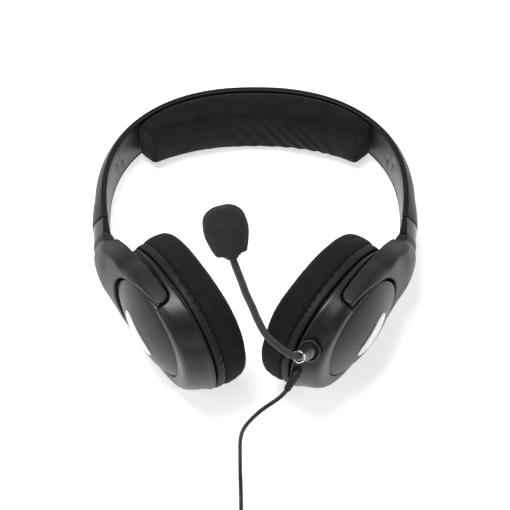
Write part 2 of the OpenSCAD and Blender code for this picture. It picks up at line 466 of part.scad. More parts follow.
// in-line control, laid flat
rem = [-7.8, -182];
rem_l = 44;
rem_w = 14;
function pill(l, w, n = 12) = [for (k = [0, 1]) for (i = [0 : n]) let (a = 180 * k + 180 * i / n) [w / 2 * cos(a), (k == 0 ? 1 : -1) * (l - w) / 2 + w / 2 * sin(a)]];
wheel_p = [rem[0] + 3, rem[1] + 8];
module remote_body() color([0.12, 0.12, 0.12]) {
  difference() {
    translate([rem[0], rem[1], 0]) linear_extrude(4.4) polygon(pill(rem_l, rem_w));
    translate([rem[0], rem[1], 1.4]) linear_extrude(6) polygon(pill(rem_l - 2.8, rem_w - 2.8));
    translate([wheel_p[0], wheel_p[1], 4.1]) cylinder(h = 6, r = 6.2, $fn = 48);
  }
  translate([wheel_p[0], wheel_p[1], 1]) cylinder(h = 3, r = 2);
  translate([wheel_p[0], wheel_p[1], 2]) cylinder(h = 5.2, r = 1, $fn = 32);
  for (k = [-1, 1]) translate([rem[0], rem[1] + k * (rem_l / 2 - 1), 4.5]) rotate([k * -90, 0, 0]) intersection() {
    cylinder(h = 3, r = 2.2);
    translate([-3, k > 0 ? 0.1 : -5.1, 0]) cube([6, 5, 8]);
  }
}
module remote_cover() color([0.15, 0.15, 0.15]) difference() {
  union() {
    translate([rem[0], rem[1], 4.4]) linear_extrude(3.8) polygon(pill(rem_l, rem_w));
    translate([rem[0], rem[1], 8.2]) linear_extrude(0.8) polygon(pill(rem_l - 1.6, rem_w - 1.6));
  }
  translate([rem[0], rem[1], 4]) linear_extrude(3.8) polygon(pill(rem_l - 2.8, rem_w - 2.8));
  translate([wheel_p[0], wheel_p[1], 4]) cylinder(h = 4.1, r = 6.2, $fn = 48);
  translate([rem[0] - 2.1, rem[1] - 14, 6]) cube([4.2, 8.4, 6]);
  for (k = [-1, 1]) translate([rem[0], rem[1] + k * (rem_l / 2 - 2), 4.5]) rotate([90, 0, 0]) cylinder(h = 8, r = 2.25, center = true);
}
module remote_board() color([0.1, 0.35, 0.2]) difference() {
  translate([rem[0], rem[1], 2.4]) linear_extrude(1) polygon(pill(rem_l - 3.4, rem_w - 3.4));
  translate([wheel_p[0], wheel_p[1], 0]) cylinder(h = 9, r = 2.2);
}
module volume_wheel() color([0.2, 0.2, 0.2]) translate([wheel_p[0], wheel_p[1], 4.5]) difference() {
  cylinder(h = 3, r = 5.6, $fn = 64);
  translate([0, 0, -1]) cylinder(h = 5, r = 1.05, $fn = 32);
  for (a = [0 : 20 : 340]) rotate(a) translate([5.9, 0, -1]) cylinder(h = 5, r = 0.55, $fn = 16);
}
module mute_switch() color([0.3, 0.3, 0.3]) translate([rem[0], rem[1] - 8, 0]) {
  translate([-1.9, -2.2, 7.4]) cube([3.8, 4.4, 2.4]);
  translate([-2.9, -2.6, 6]) cube([5.8, 5.2, 1.5]);
}
// wound length of the cable, held by a tie
coil_p = [28, -186];
coil_in = 7.8;
coil_out = 19.8;
coil_h = 9.4;
module cable_coil() color([0.08, 0.08, 0.08]) translate([coil_p[0], coil_p[1], 0]) rotate_extrude($fn = 64)
  polygon([[coil_in + 2, 0], [coil_out - 2, 0], [coil_out, 2], [coil_out, coil_h - 2.5], [coil_out - 2.5, coil_h], [coil_in + 2.5, coil_h], [coil_in, coil_h - 2.5], [coil_in, 2]]);
module cable_tie() color([0.05, 0.05, 0.05]) translate([coil_p[0], coil_p[1] + (coil_in + coil_out) / 2, 0]) difference() {
  translate([-2, -7.1, 0]) cube([4, 14.2, coil_h + 1.1]);
  translate([-5, -6.3, -1]) cube([10, 12.6, coil_h + 1.2]);
}
lead_a = [[-7.8, -206.3, 4.5], [-7.6, -210.5, 2.4], [-5.6, -215, 1.3], [-1, -217.4, 1.2], [4, -215.6, 1.2], [7.3, -210, 1.2], [8.7, -203, 1.2], [9.2, -196, 1.2], [9.4, -190, 1.2]];
lead_b = [[46.3, -187, 8], [47.1, -193, 6.4], [47.9, -199.5, 3.5], [48.5, -205.5, 1.8], [49, -211, 2.5], [49, -215.8, 3.2]];
module cable_lead() color([0.08, 0.08, 0.08]) {
  tube(spline(lead_a, 2), cable_d, 8, [0.1, 0, 1]);
  tube(spline(lead_b, 2), cable_d, 8, [0.1, 0, 1]);
}
module audio_plug() color([0.15, 0.15, 0.15]) translate([49, -216, 3.2]) rotate([90, 0, 0]) {
  rotate_extrude($fn = 40) polygon([[0, 0], [1.6, 0], [2, 5], [2.9, 6], [3.1, 8], [3.1, 15], [2.7, 16], [2.7, 17], [1.75, 17], [1.75, 28.2], [1.1, 29], [1.7, 30.2], [0.5, 31.2], [0, 31.2]]);
}

headband_outer_shell();
headband_inner_cover();
headband_pad();
headband_spring();
headband_screws();
crossover_wire();
band_collar_left();
band_collar_right();
slider_left();
slider_right();
yoke_left();
yoke_right();
yoke_cover_left();
yoke_cover_right();
yoke_screws_left();
yoke_screws_right();
pivot_pins_left();
pivot_pins_right();
cup_shell_left();
cup_shell_right();
cup_cap_left();
cup_cap_right();
badge_left();
badge_right();
baffle_left();
baffle_right();
baffle_screws_left();
baffle_screws_right();
driver_frame_left();
driver_frame_right();
driver_magnet_left();
driver_magnet_right();
driver_cone_left();
driver_cone_right();
ear_pad_ring_left();
ear_pad_ring_right();
ear_cushion_left();
ear_cushion_right();
speaker_cloth_left();
speaker_cloth_right();
mic_socket();
cable_strain_relief();
mic_plug_pin();
mic_ferrule();
mic_boom_lower();
mic_boom_upper();
mic_head_collar();
mic_capsule();
mic_windscreen();
cable_run();
cable_coil();
cable_tie();
remote_body();
remote_cover();
remote_board();
volume_wheel();
mute_switch();
cable_lead();
audio_plug();
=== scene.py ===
import math
import bpy
import bmesh
import numpy as np
from mathutils import Matrix, Vector


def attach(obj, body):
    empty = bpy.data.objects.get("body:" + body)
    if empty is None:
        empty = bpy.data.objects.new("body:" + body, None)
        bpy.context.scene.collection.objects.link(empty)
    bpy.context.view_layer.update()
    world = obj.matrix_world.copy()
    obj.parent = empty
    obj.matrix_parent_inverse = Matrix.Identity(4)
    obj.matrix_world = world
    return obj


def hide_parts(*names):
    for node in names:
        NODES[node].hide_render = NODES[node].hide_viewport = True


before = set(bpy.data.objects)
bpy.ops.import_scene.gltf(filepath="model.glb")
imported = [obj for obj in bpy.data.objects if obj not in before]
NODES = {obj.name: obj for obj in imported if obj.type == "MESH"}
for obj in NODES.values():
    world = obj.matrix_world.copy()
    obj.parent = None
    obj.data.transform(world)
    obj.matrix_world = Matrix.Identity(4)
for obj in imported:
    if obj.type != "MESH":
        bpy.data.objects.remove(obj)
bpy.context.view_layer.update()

MM = 0.001

# ------------------------------------------------------------------ frames (millimetres until a mesh is made)
LIE, LIE_H, LIE_Y = math.radians(10.2), 34.62, -12.2
SL, CL = math.sin(LIE), math.cos(LIE)
PIV_X, PIV_Z, PIV_D, PIV_O = 52.5, -49.0, 2.0, 10.0
CUP_B, CUP_A, IN_D, IN_F = 44.5, 39.3, 33.3, 35.3
TILT = {-1: 33.0, 1: 37.0}
YOKE_TILT = 33.0
NAME = {-1: "left", 1: "right"}


def place(p):
    p = np.atleast_2d(np.asarray(p, float))
    return np.c_[p[:, 0], LIE_Y - p[:, 1] * SL + p[:, 2] * CL, LIE_H - p[:, 1] * CL - p[:, 2] * SL]


def ear_axes(t):
    t = math.radians(t)
    dx = np.array([math.sin(t), 0, -math.cos(t)])
    oz = np.array([-math.cos(t), 0, -math.sin(t)])
    return dx, np.array([0, -1.0, 0]), oz, np.array([-PIV_X, 0, PIV_Z]) - PIV_D * dx - PIV_O * oz


def ear(side, t, p):
    p = np.atleast_2d(np.asarray(p, float))
    dx, dy, oz, o = ear_axes(t)
    w = o + p[:, :1] * dx + p[:, 1:2] * dy + p[:, 2:3] * oz
    if side > 0:
        w[:, 0] *= -1
    return place(w)


def oval(b, a, t, p=2.2):
    c, s = np.cos(t), np.sin(t)
    return b * np.sign(c) * np.abs(c) ** (2 / p), a * np.sign(s) * np.abs(s) ** (2 / p)


def angles(n):
    return np.arange(n) / n * 2 * math.pi + 0.013


def catmull(p, k, closed=False):
    """points through p, k steps on each span"""
    p = np.asarray(p, float)
    n = len(p)
    out = []
    for i in range(n if closed else n - 1):
        if closed:
            a, b, c, d = p[(i - 1) % n], p[i], p[(i + 1) % n], p[(i + 2) % n]
        else:
            b, c = p[i], p[i + 1]
            a = p[i - 1] if i else 2 * b - c
            d = p[i + 2] if i + 2 < n else 2 * c - b
        for j in range(k):
            t = j / k
            out.append(0.5 * (2 * b + (c - a) * t + (2 * a - 5 * b + 4 * c - d) * t * t + (3 * b - a - 3 * c + d) * t ** 3))
    if not closed:
        out.append(p[-1])
    return np.array(out)


# ------------------------------------------------------------------ mesh helpers
def new_obj(name, verts_mm, faces):
    me = bpy.data.meshes.new(name)
    me.from_pydata((np.asarray(verts_mm) * MM).tolist(), [], [tuple(int(i) for i in f) for f in faces])
    me.validate()
    bm = bmesh.new()
    bm.from_mesh(me)
    bmesh.ops.remove_doubles(bm, verts=bm.verts, dist=1e-7)
    bmesh.ops.recalc_face_normals(bm, faces=bm.faces)
    bm.to_mesh(me)
    bm.free()
    ob = bpy.data.objects.new(name, me)
    bpy.context.scene.collection.objects.link(ob)
    return ob


def loft(rings, caps=True, closed_long=False):
    """quads between rings of equal length; caps are fans to the middle"""
    rings = [np.asarray(r, float) for r in rings]
    n, m = len(rings[0]), len(rings)
    v = np.concatenate(rings)
    f = []
    for j in range(m if closed_long else m - 1):
        a, b = j * n, ((j + 1) % m) * n
        for i in range(n):
            k = (i + 1) % n
            f.append((a + i, a + k, b + k, b + i))
    if caps and not closed_long:
        v = np.concatenate([v, [rings[0].mean(0), rings[-1].mean(0)]])
        for i in range(n):
            k = (i + 1) % n
            f.append((m * n, k, i))
            f.append((m * n + 1, (m - 1) * n + i, (m - 1) * n + k))
    return v, f


def sweep(sections):
    """closed sections along a path, closed at both ends with one polygon"""
    v, f = loft(sections, caps=False)
    n, m = len(sections[0]), len(sections)
    f.append(tuple(range(n))[::-1])
    f.append(tuple((m - 1) * n + i for i in range(n)))
    return v, f


def apply_mods(ob):
    bpy.context.view_layer.update()
    dg = bpy.context.evaluated_depsgraph_get()
    me = bpy.data.meshes.new_from_object(ob.evaluated_get(dg))
    ob.modifiers.clear()
    old = ob.data
    ob.data = me
    if old.users == 0:
        bpy.data.meshes.remove(old)
    return ob


def boolean(ob, cutter, op="DIFFERENCE", keep=False):
    m = ob.modifiers.new("b", "BOOLEAN")
    m.operation, m.object, m.solver = op, cutter, "EXACT"
    apply_mods(ob)
    if not keep:
        bpy.data.objects.remove(cutter)
    return ob


def bevel(ob, width, segments=2, angle=32):
    m = ob.modifiers.new("v", "BEVEL")
    m.width, m.segments, m.limit_method, m.angle_limit = width * MM, segments, "ANGLE", math.radians(angle)
    m.harden_normals = False
    return apply_mods(ob)


def soften(ob, voxel=0.55, smooth=8, ratio=0.35):
    m = ob.modifiers.new("r", "REMESH")
    m.mode, m.voxel_size, m.use_smooth_shade = "VOXEL", voxel * MM, True
    s = ob.modifiers.new("s", "SMOOTH")
    s.factor, s.iterations = 0.5, smooth
    if ratio < 1:
        d = ob.modifiers.new("d", "DECIMATE")
        d.ratio = ratio
    return apply_mods(ob)


def shade(ob, angle=None):
    ob.data.polygons.foreach_set("use_smooth", [True] * len(ob.data.polygons))
    if angle:
        ob.data.set_sharp_from_angle(angle=math.radians(angle))
    ob.data.update()


def finish_piece(ob, body, mat, replaces=(), angle=None):
    if not isinstance(mat, (list, tuple)):
        mat = [mat]
    if len(mat) == 1:
        ob.data.materials.clear()
        ob.data.materials.append(mat[0])
        ob.data.polygons.foreach_set("material_index", [0] * len(ob.data.polygons))
    shade(ob, angle)
    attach(ob, body)
    if replaces:
        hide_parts(*replaces)
    return ob


def prism(side, t, poly, z0, z1, name="cut"):
    """extrusion of an ear-plane outline along the cup's own axis"""
    poly = np.asarray(poly, float)
    r = [ear(side, t, np.c_[poly, np.full(len(poly), z)]) for z in (z0, z1)]
    v, f = loft(r)
    return new_obj(name, v, f)


def slab(side, t, poly_xz, y0, y1, name="cut"):
    """extrusion of an outline in the cup's x and z along its front-back axis"""
    poly = np.asarray(poly_xz, float)
    r = [ear(side, t, np.c_[poly[:, 0], np.full(len(poly), y), poly[:, 1]]) for y in (y0, y1)]
    v, f = sweep(r)
    return new_obj(name, v, f)


def oval_poly(b, a, n=160, p=2.2):
    x, y = oval(b, a, angles(n), p)
    return np.c_[x, y]


def revolve_along(profile, origin, axis, n=48, side=None, t=None):
    """turned shape: profile of [radius, height] about an axis in the row frame"""
    axis = Vector(axis).normalized()
    u = axis.orthogonal().normalized()
    w = axis.cross(u)
    rings = []
    for r, h in profile:
        r = max(r, 0.001)
        rings.append([list(Vector(origin) + axis * h + (u * math.cos(a) + w * math.sin(a)) * r) for a in np.arange(n) / n * 2 * math.pi])
    return loft(rings)


def tube(path, radius, n=16, ridges=None):
    path = np.asarray(path, float)
    d = np.gradient(path, axis=0)
    d /= np.linalg.norm(d, axis=1)[:, None]
    ref = np.array([0.05, 0.13, 1.0])
    rings = []
    s = np.cross(d[0], ref)
    s /= np.linalg.norm(s)
    for i, p in enumerate(path):
        s = s - d[i] * (s @ d[i])
        s /= np.linalg.norm(s)
        q = np.cross(s, d[i])
        r = radius if ridges is None else ridges[i]
        a = np.arange(n) / n * 2 * math.pi
        rings.append(p + r * (np.cos(a)[:, None] * s + np.sin(a)[:, None] * q))
    return loft(rings)


def resample(p, step):
    p = np.asarray(p, float)
    s = np.r_[0, np.cumsum(np.linalg.norm(np.diff(p, axis=0), axis=1))]
    n = max(2, int(s[-1] / step) + 1)
    q = np.linspace(0, s[-1], n)
    return np.c_[[np.interp(q, s, p[:, k]) for k in range(3)]].T, q


# ------------------------------------------------------------------ camera, light and floor
scene = bpy.context.scene
cam = bpy.data.objects.new("camera", bpy.data.cameras.new("camera"))
scene.collection.objects.link(cam)
cam.data.lens, cam.data.sensor_width, cam.data.clip_start, cam.data.clip_end = 123.8, 36.0, 0.05, 20
view = Vector((0, 0.3632, -0.9317)).normalized()
up = Vector((0, 0.9317, 0.3632))
right = view.cross(up).normalized()
up = right.cross(view).normalized()
cam.matrix_world = Matrix(((right.x, up.x, -view.x, 0), (right.y, up.y, -view.y, -0.37545), (right.z, up.z, -view.z, 0.96631), (0, 0, 0, 1)))
scene.camera = cam
scene.view_settings.view_transform = "Standard"


def area(name, loc, target, size, size_y, power, spread=180):
    l = bpy.data.lights.new(name, "AREA")
    l.shape, l.size, l.size_y, l.energy, l.spread = "RECTANGLE", size, size_y, power, math.radians(spread)
    o = bpy.data.objects.new(name, l)
    scene.collection.objects.link(o)
    o.location = loc
    o.rotation_euler = (Vector(target) - Vector(loc)).to_track_quat("-Z", "Y").to_euler()
    return o


world = bpy.data.worlds.new("studio")
scene.world = world
world.use_nodes = True
wn = world.node_tree
wtc, wsep, wramp = wn.nodes.new("ShaderNodeTexCoord"), wn.nodes.new("ShaderNodeSeparateXYZ"), wn.nodes.new("ShaderNodeValToRGB")
wn.links.new(wtc.outputs["Generated"], wsep.inputs["Vector"])
wn.links.new(wsep.outputs["Z"], wramp.inputs["Fac"])
wramp.color_ramp.elements[0].position, wramp.color_ramp.elements[0].color = 0.0, (0.55, 0.55, 0.55, 1)
wramp.color_ramp.elements[1].position, wramp.color_ramp.elements[1].color = 0.95, (0.10, 0.10, 0.10, 1)
wmid = wramp.color_ramp.elements.new(0.35)
wmid.color = (0.34, 0.34, 0.34, 1)
wn.links.new(wramp.outputs["Color"], wn.nodes["Background"].inputs["Color"])
wn.nodes["Background"].inputs["Strength"].default_value = 0.8
area("overhead", (-0.24, 0.24, 1.3), (0, 0, 0.03), 0.42, 0.42, 13)
area("key_left", (-0.75, -0.25, 0.75), (0, -0.02, 0.03), 0.6, 0.6, 2.2)
area("key_right", (0.85, -0.15, 0.7), (0, -0.02, 0.03), 0.6, 0.6, 1.8)
area("front", (0, -0.95, 0.5), (0, 0, 0.04), 1.0, 0.4, 1.2)
area("back", (0, 0.9, 0.7), (0, 0.02, 0.02), 1.2, 0.5, 1.2)


# ------------------------------------------------------------------ materials
def mat(name, color, rough=0.5, vary=0.12, vary_scale=60, grain=0.00002, grain_scale=2500, metallic=0.0, rough_vary=0.05, coat=0.0, coat_rough=0.1,
        sheen=0.0, sheen_rough=0.5, spec=0.5, kind="noise", stretch=(1, 1, 1), spots=0.0, spot_scale=900):
    m = bpy.data.materials.new(name)
    m.use_nodes = True
    nt = m.node_tree
    b = nt.nodes["Principled BSDF"]
    L = nt.links.new
    tc = nt.nodes.new("ShaderNodeTexCoord")
    mp = nt.nodes.new("ShaderNodeMapping")
    mp.inputs["Scale"].default_value = stretch
    L(tc.outputs["Object"], mp.inputs["Vector"])
    n1 = nt.nodes.new("ShaderNodeTexNoise")
    n1.inputs["Scale"].default_value = vary_scale
    n1.inputs["Detail"].default_value = 4
    L(mp.outputs["Vector"], n1.inputs["Vector"])
    ramp = nt.nodes.new("ShaderNodeValToRGB")
    ramp.color_ramp.elements[0].position, ramp.color_ramp.elements[1].position = 0.3, 0.7
    lo = [c * (1 - vary) for c in color] + [1]
    hi = [min(1, c * (1 + vary)) for c in color] + [1]
    ramp.color_ramp.elements[0].color, ramp.color_ramp.elements[1].color = lo, hi
    L(n1.outputs["Fac"], ramp.inputs["Fac"])
    col = ramp.outputs["Color"]
    if spots:
        n3 = nt.nodes.new("ShaderNodeTexNoise")
        n3.inputs["Scale"].default_value = spot_scale
        n3.inputs["Detail"].default_value = 3
        L(mp.outputs["Vector"], n3.inputs["Vector"])
        r3 = nt.nodes.new("ShaderNodeValToRGB")
        r3.color_ramp.elements[0].position, r3.color_ramp.elements[1].position = 0.35, 0.7
        r3.color_ramp.elements[0].color = (1 - spots, 1 - spots, 1 - spots, 1)
        r3.color_ramp.elements[1].color = (1 + spots, 1 + spots, 1 + spots, 1)
        L(n3.outputs["Fac"], r3.inputs["Fac"])
        mx = nt.nodes.new("ShaderNodeMix")
        mx.data_type, mx.blend_type = "RGBA", "MULTIPLY"
        mx.inputs["Factor"].default_value = 1
        L(col, mx.inputs["A"])
        L(r3.outputs["Color"], mx.inputs["B"])
        col = mx.outputs["Result"]
    L(col, b.inputs["Base Color"])
    mr = nt.nodes.new("ShaderNodeMapRange")
    mr.inputs["To Min"].default_value, mr.inputs["To Max"].default_value = max(0.02, rough - rough_vary), min(1, rough + rough_vary)
    L(n1.outputs["Fac"], mr.inputs["Value"])
    L(mr.outputs["Result"], b.inputs["Roughness"])
    if kind == "voronoi":
        n2 = nt.nodes.new("ShaderNodeTexVoronoi")
        n2.inputs["Scale"].default_value = grain_scale
        out = n2.outputs["Distance"]
    elif kind == "brushed":
        n2 = nt.nodes.new("ShaderNodeTexNoise")
        n2.inputs["Scale"].default_value = grain_scale
        out = n2.outputs["Fac"]
    else:
        n2 = nt.nodes.new("ShaderNodeTexNoise")
        n2.inputs["Scale"].default_value = grain_scale
        n2.inputs["Detail"].default_value = 3
        out = n2.outputs["Fac"]
    L(mp.outputs["Vector"], n2.inputs["Vector"])
    bp = nt.nodes.new("ShaderNodeBump")
    bp.inputs["Strength"].default_value = 1.0
    bp.inputs["Distance"].default_value = grain
    L(out, bp.inputs["Height"])
    L(bp.outputs["Normal"], b.inputs["Normal"])
    b.inputs["Metallic"].default_value = metallic
    b.inputs["Specular IOR Level"].default_value = spec
    b.inputs["Coat Weight"].default_value = coat
    b.inputs["Coat Roughness"].default_value = coat_rough
    b.inputs["Sheen Weight"].default_value = sheen
    b.inputs["Sheen Roughness"].default_value = sheen_rough
    return m


g3 = lambda v: (v, v, v * 1.02)
M = {
    "shell": mat("shell_plastic", g3(0.012), 0.33, 0.10, 90, 0.00002, 2600, spec=0.34),
    "band": mat("band_plastic", g3(0.010), 0.42, 0.10, 90, 0.00002, 2600, spec=0.18),
    "inner": mat("inner_plastic", g3(0.012), 0.38, 0.10, 90, 0.00002, 2600, spec=0.5),
    "yoke": mat("yoke_plastic", g3(0.012), 0.44, 0.10, 90, 0.00002, 2600, spec=0.32),
    "cap": mat("cap_plastic", g3(0.010), 0.36, 0.10, 90, 0.00001, 2600, spec=0.26),
    "gloss": mat("gloss_collar", g3(0.002), 0.14, 0.15, 60, 0.000002, 900, spec=0.28, coat=0.12, coat_rough=0.08),
    "badge": mat("badge_inlay", (0.74, 0.74, 0.76), 0.25, 0.03, 200, 0.000004, 1500, spec=0.5, coat=0.4),
    "velour": mat("velour", g3(0.013), 0.95, 0.18, 160, 0.00006, 2300, sheen=0.07, sheen_rough=0.45, spec=0.08, spots=0.15, spot_scale=1600),
    "pad": mat("pad_cover", g3(0.011), 0.92, 0.25, 120, 0.00010, 2000, sheen=0.12, sheen_rough=0.4, spec=0.12, spots=0.22, spot_scale=1500),
    "skirt": mat("skirt_leatherette", g3(0.010), 0.55, 0.15, 150, 0.00004, 1700, spec=0.22, kind="voronoi"),
    "cloth": mat("speaker_knit", g3(0.014), 0.95, 0.3, 200, 0.0001, 2600, sheen=0.1, spec=0.1, kind="voronoi"),
    "foam": mat("windscreen_foam", g3(0.026), 0.98, 0.15, 200, 0.00010, 1300, sheen=0.05, spec=0.06, kind="voronoi", spots=0.22, spot_scale=1500),
    "steel": mat("slider_steel", (0.55, 0.56, 0.58), 0.3, 0.05, 100, 0.000006, 1200, metallic=1.0, kind="brushed", stretch=(6, 1, 6)),
    "screw": mat("screw_black_zinc", (0.03, 0.03, 0.032), 0.35, 0.1, 300, 0.00001, 1500, metallic=1.0),
    "chrome": mat("ferrule_chrome", (0.72, 0.73, 0.75), 0.18, 0.03, 300, 0.000003, 1500, metallic=1.0, rough_vary=0.03),
    "contact": mat("contact_plating", (0.80, 0.64, 0.33), 0.22, 0.05, 300, 0.000003, 1500, metallic=1.0),
    "boom": mat("boom_sleeve", g3(0.032), 0.5, 0.2, 300, 0.00008, 1800, spec=0.35, kind="voronoi"),
    "cable": mat("cable_jacket", g3(0.008), 0.48, 0.15, 200, 0.00002, 2000, spec=0.45),
    "board": mat("board_laminate", (0.02, 0.16, 0.07), 0.4, 0.1, 200, 0.00002, 900),
    "magnet": mat("magnet_plated", (0.30, 0.30, 0.32), 0.3, 0.08, 200, 0.00001, 1500, metallic=0.9),
    "cone": mat("cone_film", (0.55, 0.50, 0.36), 0.3, 0.05, 200, 0.00001, 700),
    "driver": mat("driver_frame", g3(0.05), 0.45, 0.1, 200, 0.00002, 1500),
    "mic": mat("mic_plastic", g3(0.014), 0.36, 0.12, 150, 0.00001, 2000, spec=0.5),
    "remote": mat("remote_plastic", g3(0.024), 0.42, 0.1, 120, 0.00002, 2500),
}
floor_mat = mat("floor_pale", (0.90, 0.90, 0.90), 0.9, 0.004, 3, 0.0, 50, spec=0.0)
fb = floor_mat.node_tree.nodes["Principled BSDF"]
fb.inputs["Emission Color"].default_value = (1, 1, 1, 1)
fb.inputs["Emission Strength"].default_value = 0.56
bpy.ops.mesh.primitive_plane_add(size=8, location=(0, 0, -0.0002))
floor = bpy.context.object
floor.name = "floor"
floor.data.materials.append(floor_mat)

# ------------------------------------------------------------------ the cable, one line from the cup to the plug
run = [[16.9, -99.15, 55.33], [14.8, -101.8, 55.5], [11, -104.6, 54.5], [6.7, -106.8, 52.2], [2.8, -108.8, 49], [-0.8, -111, 45], [-4, -113.2, 41],
       [-6.4, -115.4, 36.6], [-7.9, -118, 31], [-8.3, -121.2, 24.5], [-8.3, -124.9, 17], [-8.3, -129.4, 10], [-8.2, -134.8, 4.8], [-8, -141, 2], [-7.8, -147.5, 1.3],
       [-7.8, -152.7, 2.8], [-7.8, -157.7, 4.5]]
lead_a = [[-7.8, -206.3, 4.5], [-7.6, -210.5, 2.4], [-5.6, -215, 1.3], [-1, -217.4, 1.2], [4, -215.6, 1.2], [7.3, -210, 1.2], [8.7, -203, 1.2], [9.2, -196, 1.2]]
lead_b = [[46.75, -189, 7.4], [47.2, -194, 5.6], [47.9, -199.5, 3.4], [48.5, -205.5, 1.8], [49, -211, 2.5], [49, -215.8, 3.2]]
R_IN, R_OUT, TURNS, CZ = 8.95, 18.65, 4.125, [1.15, 3.52, 5.89, 8.25]
coil, a = [], math.pi
for k in range(4):
    n = 68
    for i in range(n + 1):
        q = i / n
        r = R_OUT + (R_IN - R_OUT) * (q if k % 2 == 0 else 1 - q)
        coil.append([28 + r * math.cos(a - q * TURNS * 2 * math.pi), -186 + r * math.sin(a - q * TURNS * 2 * math.pi), CZ[k]])
    a -= TURNS * 2 * math.pi
    if k < 3:
        r = R_IN if k % 2 == 0 else R_OUT
        for i in range(1, 6):
            q = i / 6
            coil.append([28 + r * math.cos(a - q * 2 * math.pi / 3), -186 + r * math.sin(a - q * 2 * math.pi / 3), CZ[k] + (CZ[k + 1] - CZ[k]) * (3 * q * q - 2 * q ** 3)])
        a -= 2 * math.pi / 3
remote_in = [[-7.8, -163, 4.5], [-7.8, -172, 4.5], [-7.8, -182, 4.5], [-7.8, -192, 4.5], [-7.8, -200, 4.5]]
cable_line = run + remote_in + lead_a + coil + lead_b
cu = bpy.data.curves.new("audio_cable", "CURVE")
cu.dimensions = "3D"
sp = cu.splines.new("NURBS")
sp.points.add(len(cable_line) - 1)
for p, q in zip(sp.points, cable_line):
    p.co = (q[0] * MM, q[1] * MM, q[2] * MM, 1)
sp.order_u = 3
sp.use_endpoint_u = True
sp.resolution_u = 3
cu.bevel_depth = 1.15 * MM
cu.bevel_resolution = 3
cu.use_fill_caps = True
cable = bpy.data.objects.new("audio_cable", cu)
scene.collection.objects.link(cable)
cu.materials.append(M["cable"])
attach(cable, "cup_right")
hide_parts("cable_run", "cable_coil", "cable_lead")
cable_len = float(np.linalg.norm(np.diff(np.array(cable_line), axis=0), axis=1).sum()) * MM


# ------------------------------------------------------------------ headband
HW, BA, BB, BP, ZC, BEND, SKIN = 15.5, 85.0, 69.9, 2.25, 35.0, 16.5, 1.8


def arch(t):
    t = math.radians(t)
    return np.array([BA * np.sign(math.cos(t)) * abs(math.cos(t)) ** (2 / BP), ZC + BB * max(0.0, math.sin(t)) ** (2 / BP)])


def arc(t):
    d = arch(t + 0.5) - arch(t - 0.5)
    n = np.array([d[1], -d[0]]) / np.linalg.norm(d)
    p = arch(t)
    return [p[0], p[1], n[0], n[1], 8.0, 2.8]


def side_x(z):
    return BA - 0.0045 * (ZC - z) ** 2


def low(z, s):
    cl = lambda v, a, b: min(b, max(a, v))
    return [s * side_x(z), z, s, 0, 8 + 2 * cl((ZC - z) / (ZC - BEND), 0, 1.8), 2.8 + 1.9 * cl((BEND - z) / 11, 0, 1)]


def at(s, y, h):
    return [s[0] + s[2] * h, y, s[1] + s[3] * h]


def crown_h(s, y, w):
    return s[5] + (s[4] - s[5]) * (1 - (abs(y) / w) ** 2)


stations = [low(z, 1) for z in np.linspace(BEND, ZC, 10)] + [arc(t) for t in np.linspace(2, 178, 133)] + [low(z, -1) for z in np.linspace(ZC, BEND, 10)]


def band_section(s):
    w = HW - SKIN
    ys = np.linspace(-1, 1, 25)
    yi = np.linspace(1, -1, 13)
    return [at(s, -HW, 0)] + [at(s, u * HW, crown_h(s, u * HW, HW)) for u in ys] + [at(s, HW, 0), at(s, w, 0)] + \
        [at(s, u * w, crown_h(s, u * w, HW) - SKIN) for u in yi] + [at(s, -w, 0)]


v, f = sweep([place(band_section(s)) for s in stations])
band = bevel(new_obj("headband_shell", v, f), 0.55, 3, 30)
finish_piece(band, "headband", M["band"], ["headband_outer_shell"], 40)


def cover_section(s):
    w = HW - SKIN - 0.12
    return [at(s, -w, 1.7), at(s, w, 1.7), at(s, w, 0.1), at(s, -w, 0.1)]


v, f = sweep([place(cover_section(s)) for s in stations])
cover = new_obj("headband_cover", v, f)


def screw_axis(k, t, y):
    q = arc(t)
    return place([[k * q[0], y, q[1]]])[0], place([[k * (q[0] + q[2]), y, q[1] + q[3]]])[0]


for k in (-1, 1):
    for t, y in ((24, 3), (18.5, -2)):
        o, p = screw_axis(k, t, y)
        v, f = revolve_along([(2.3, -3), (2.3, 0.9)], o, p - o, 32)
        boolean(cover, new_obj("cut", v, f))
cover = bevel(cover, 0.25, 2, 40)
finish_piece(cover, "headband", M["inner"], ["headband_inner_cover"], 40)

for s, nm in ((1, "right"), (-1, "left")):
    secs = []
    for z in np.linspace(BEND - 0.35, 4.85, 14):
        q = low(z, s)
        w = HW - 0.35
        secs.append(place([at(q, -w, 0.4), at(q, w, 0.4)] + [at(q, u * w, crown_h(q, u * HW, HW) - 0.35) for u in np.linspace(1, -1, 25)]))
    v, f = sweep(secs)
    c = bevel(new_obj("collar_" + nm, v, f), 0.35, 3, 30)
    finish_piece(c, "headband", M["gloss"], ["band_collar_" + nm], 40)

# ------------------------------------------------------------------ yokes
neck_rows = None


def yk(d, o):
    t = math.radians(YOKE_TILT)
    return [-PIV_X + (d - PIV_D) * math.sin(t) - (o - PIV_O) * math.cos(t), PIV_Z - (d - PIV_D) * math.cos(t) - (o - PIV_O) * math.sin(t)]


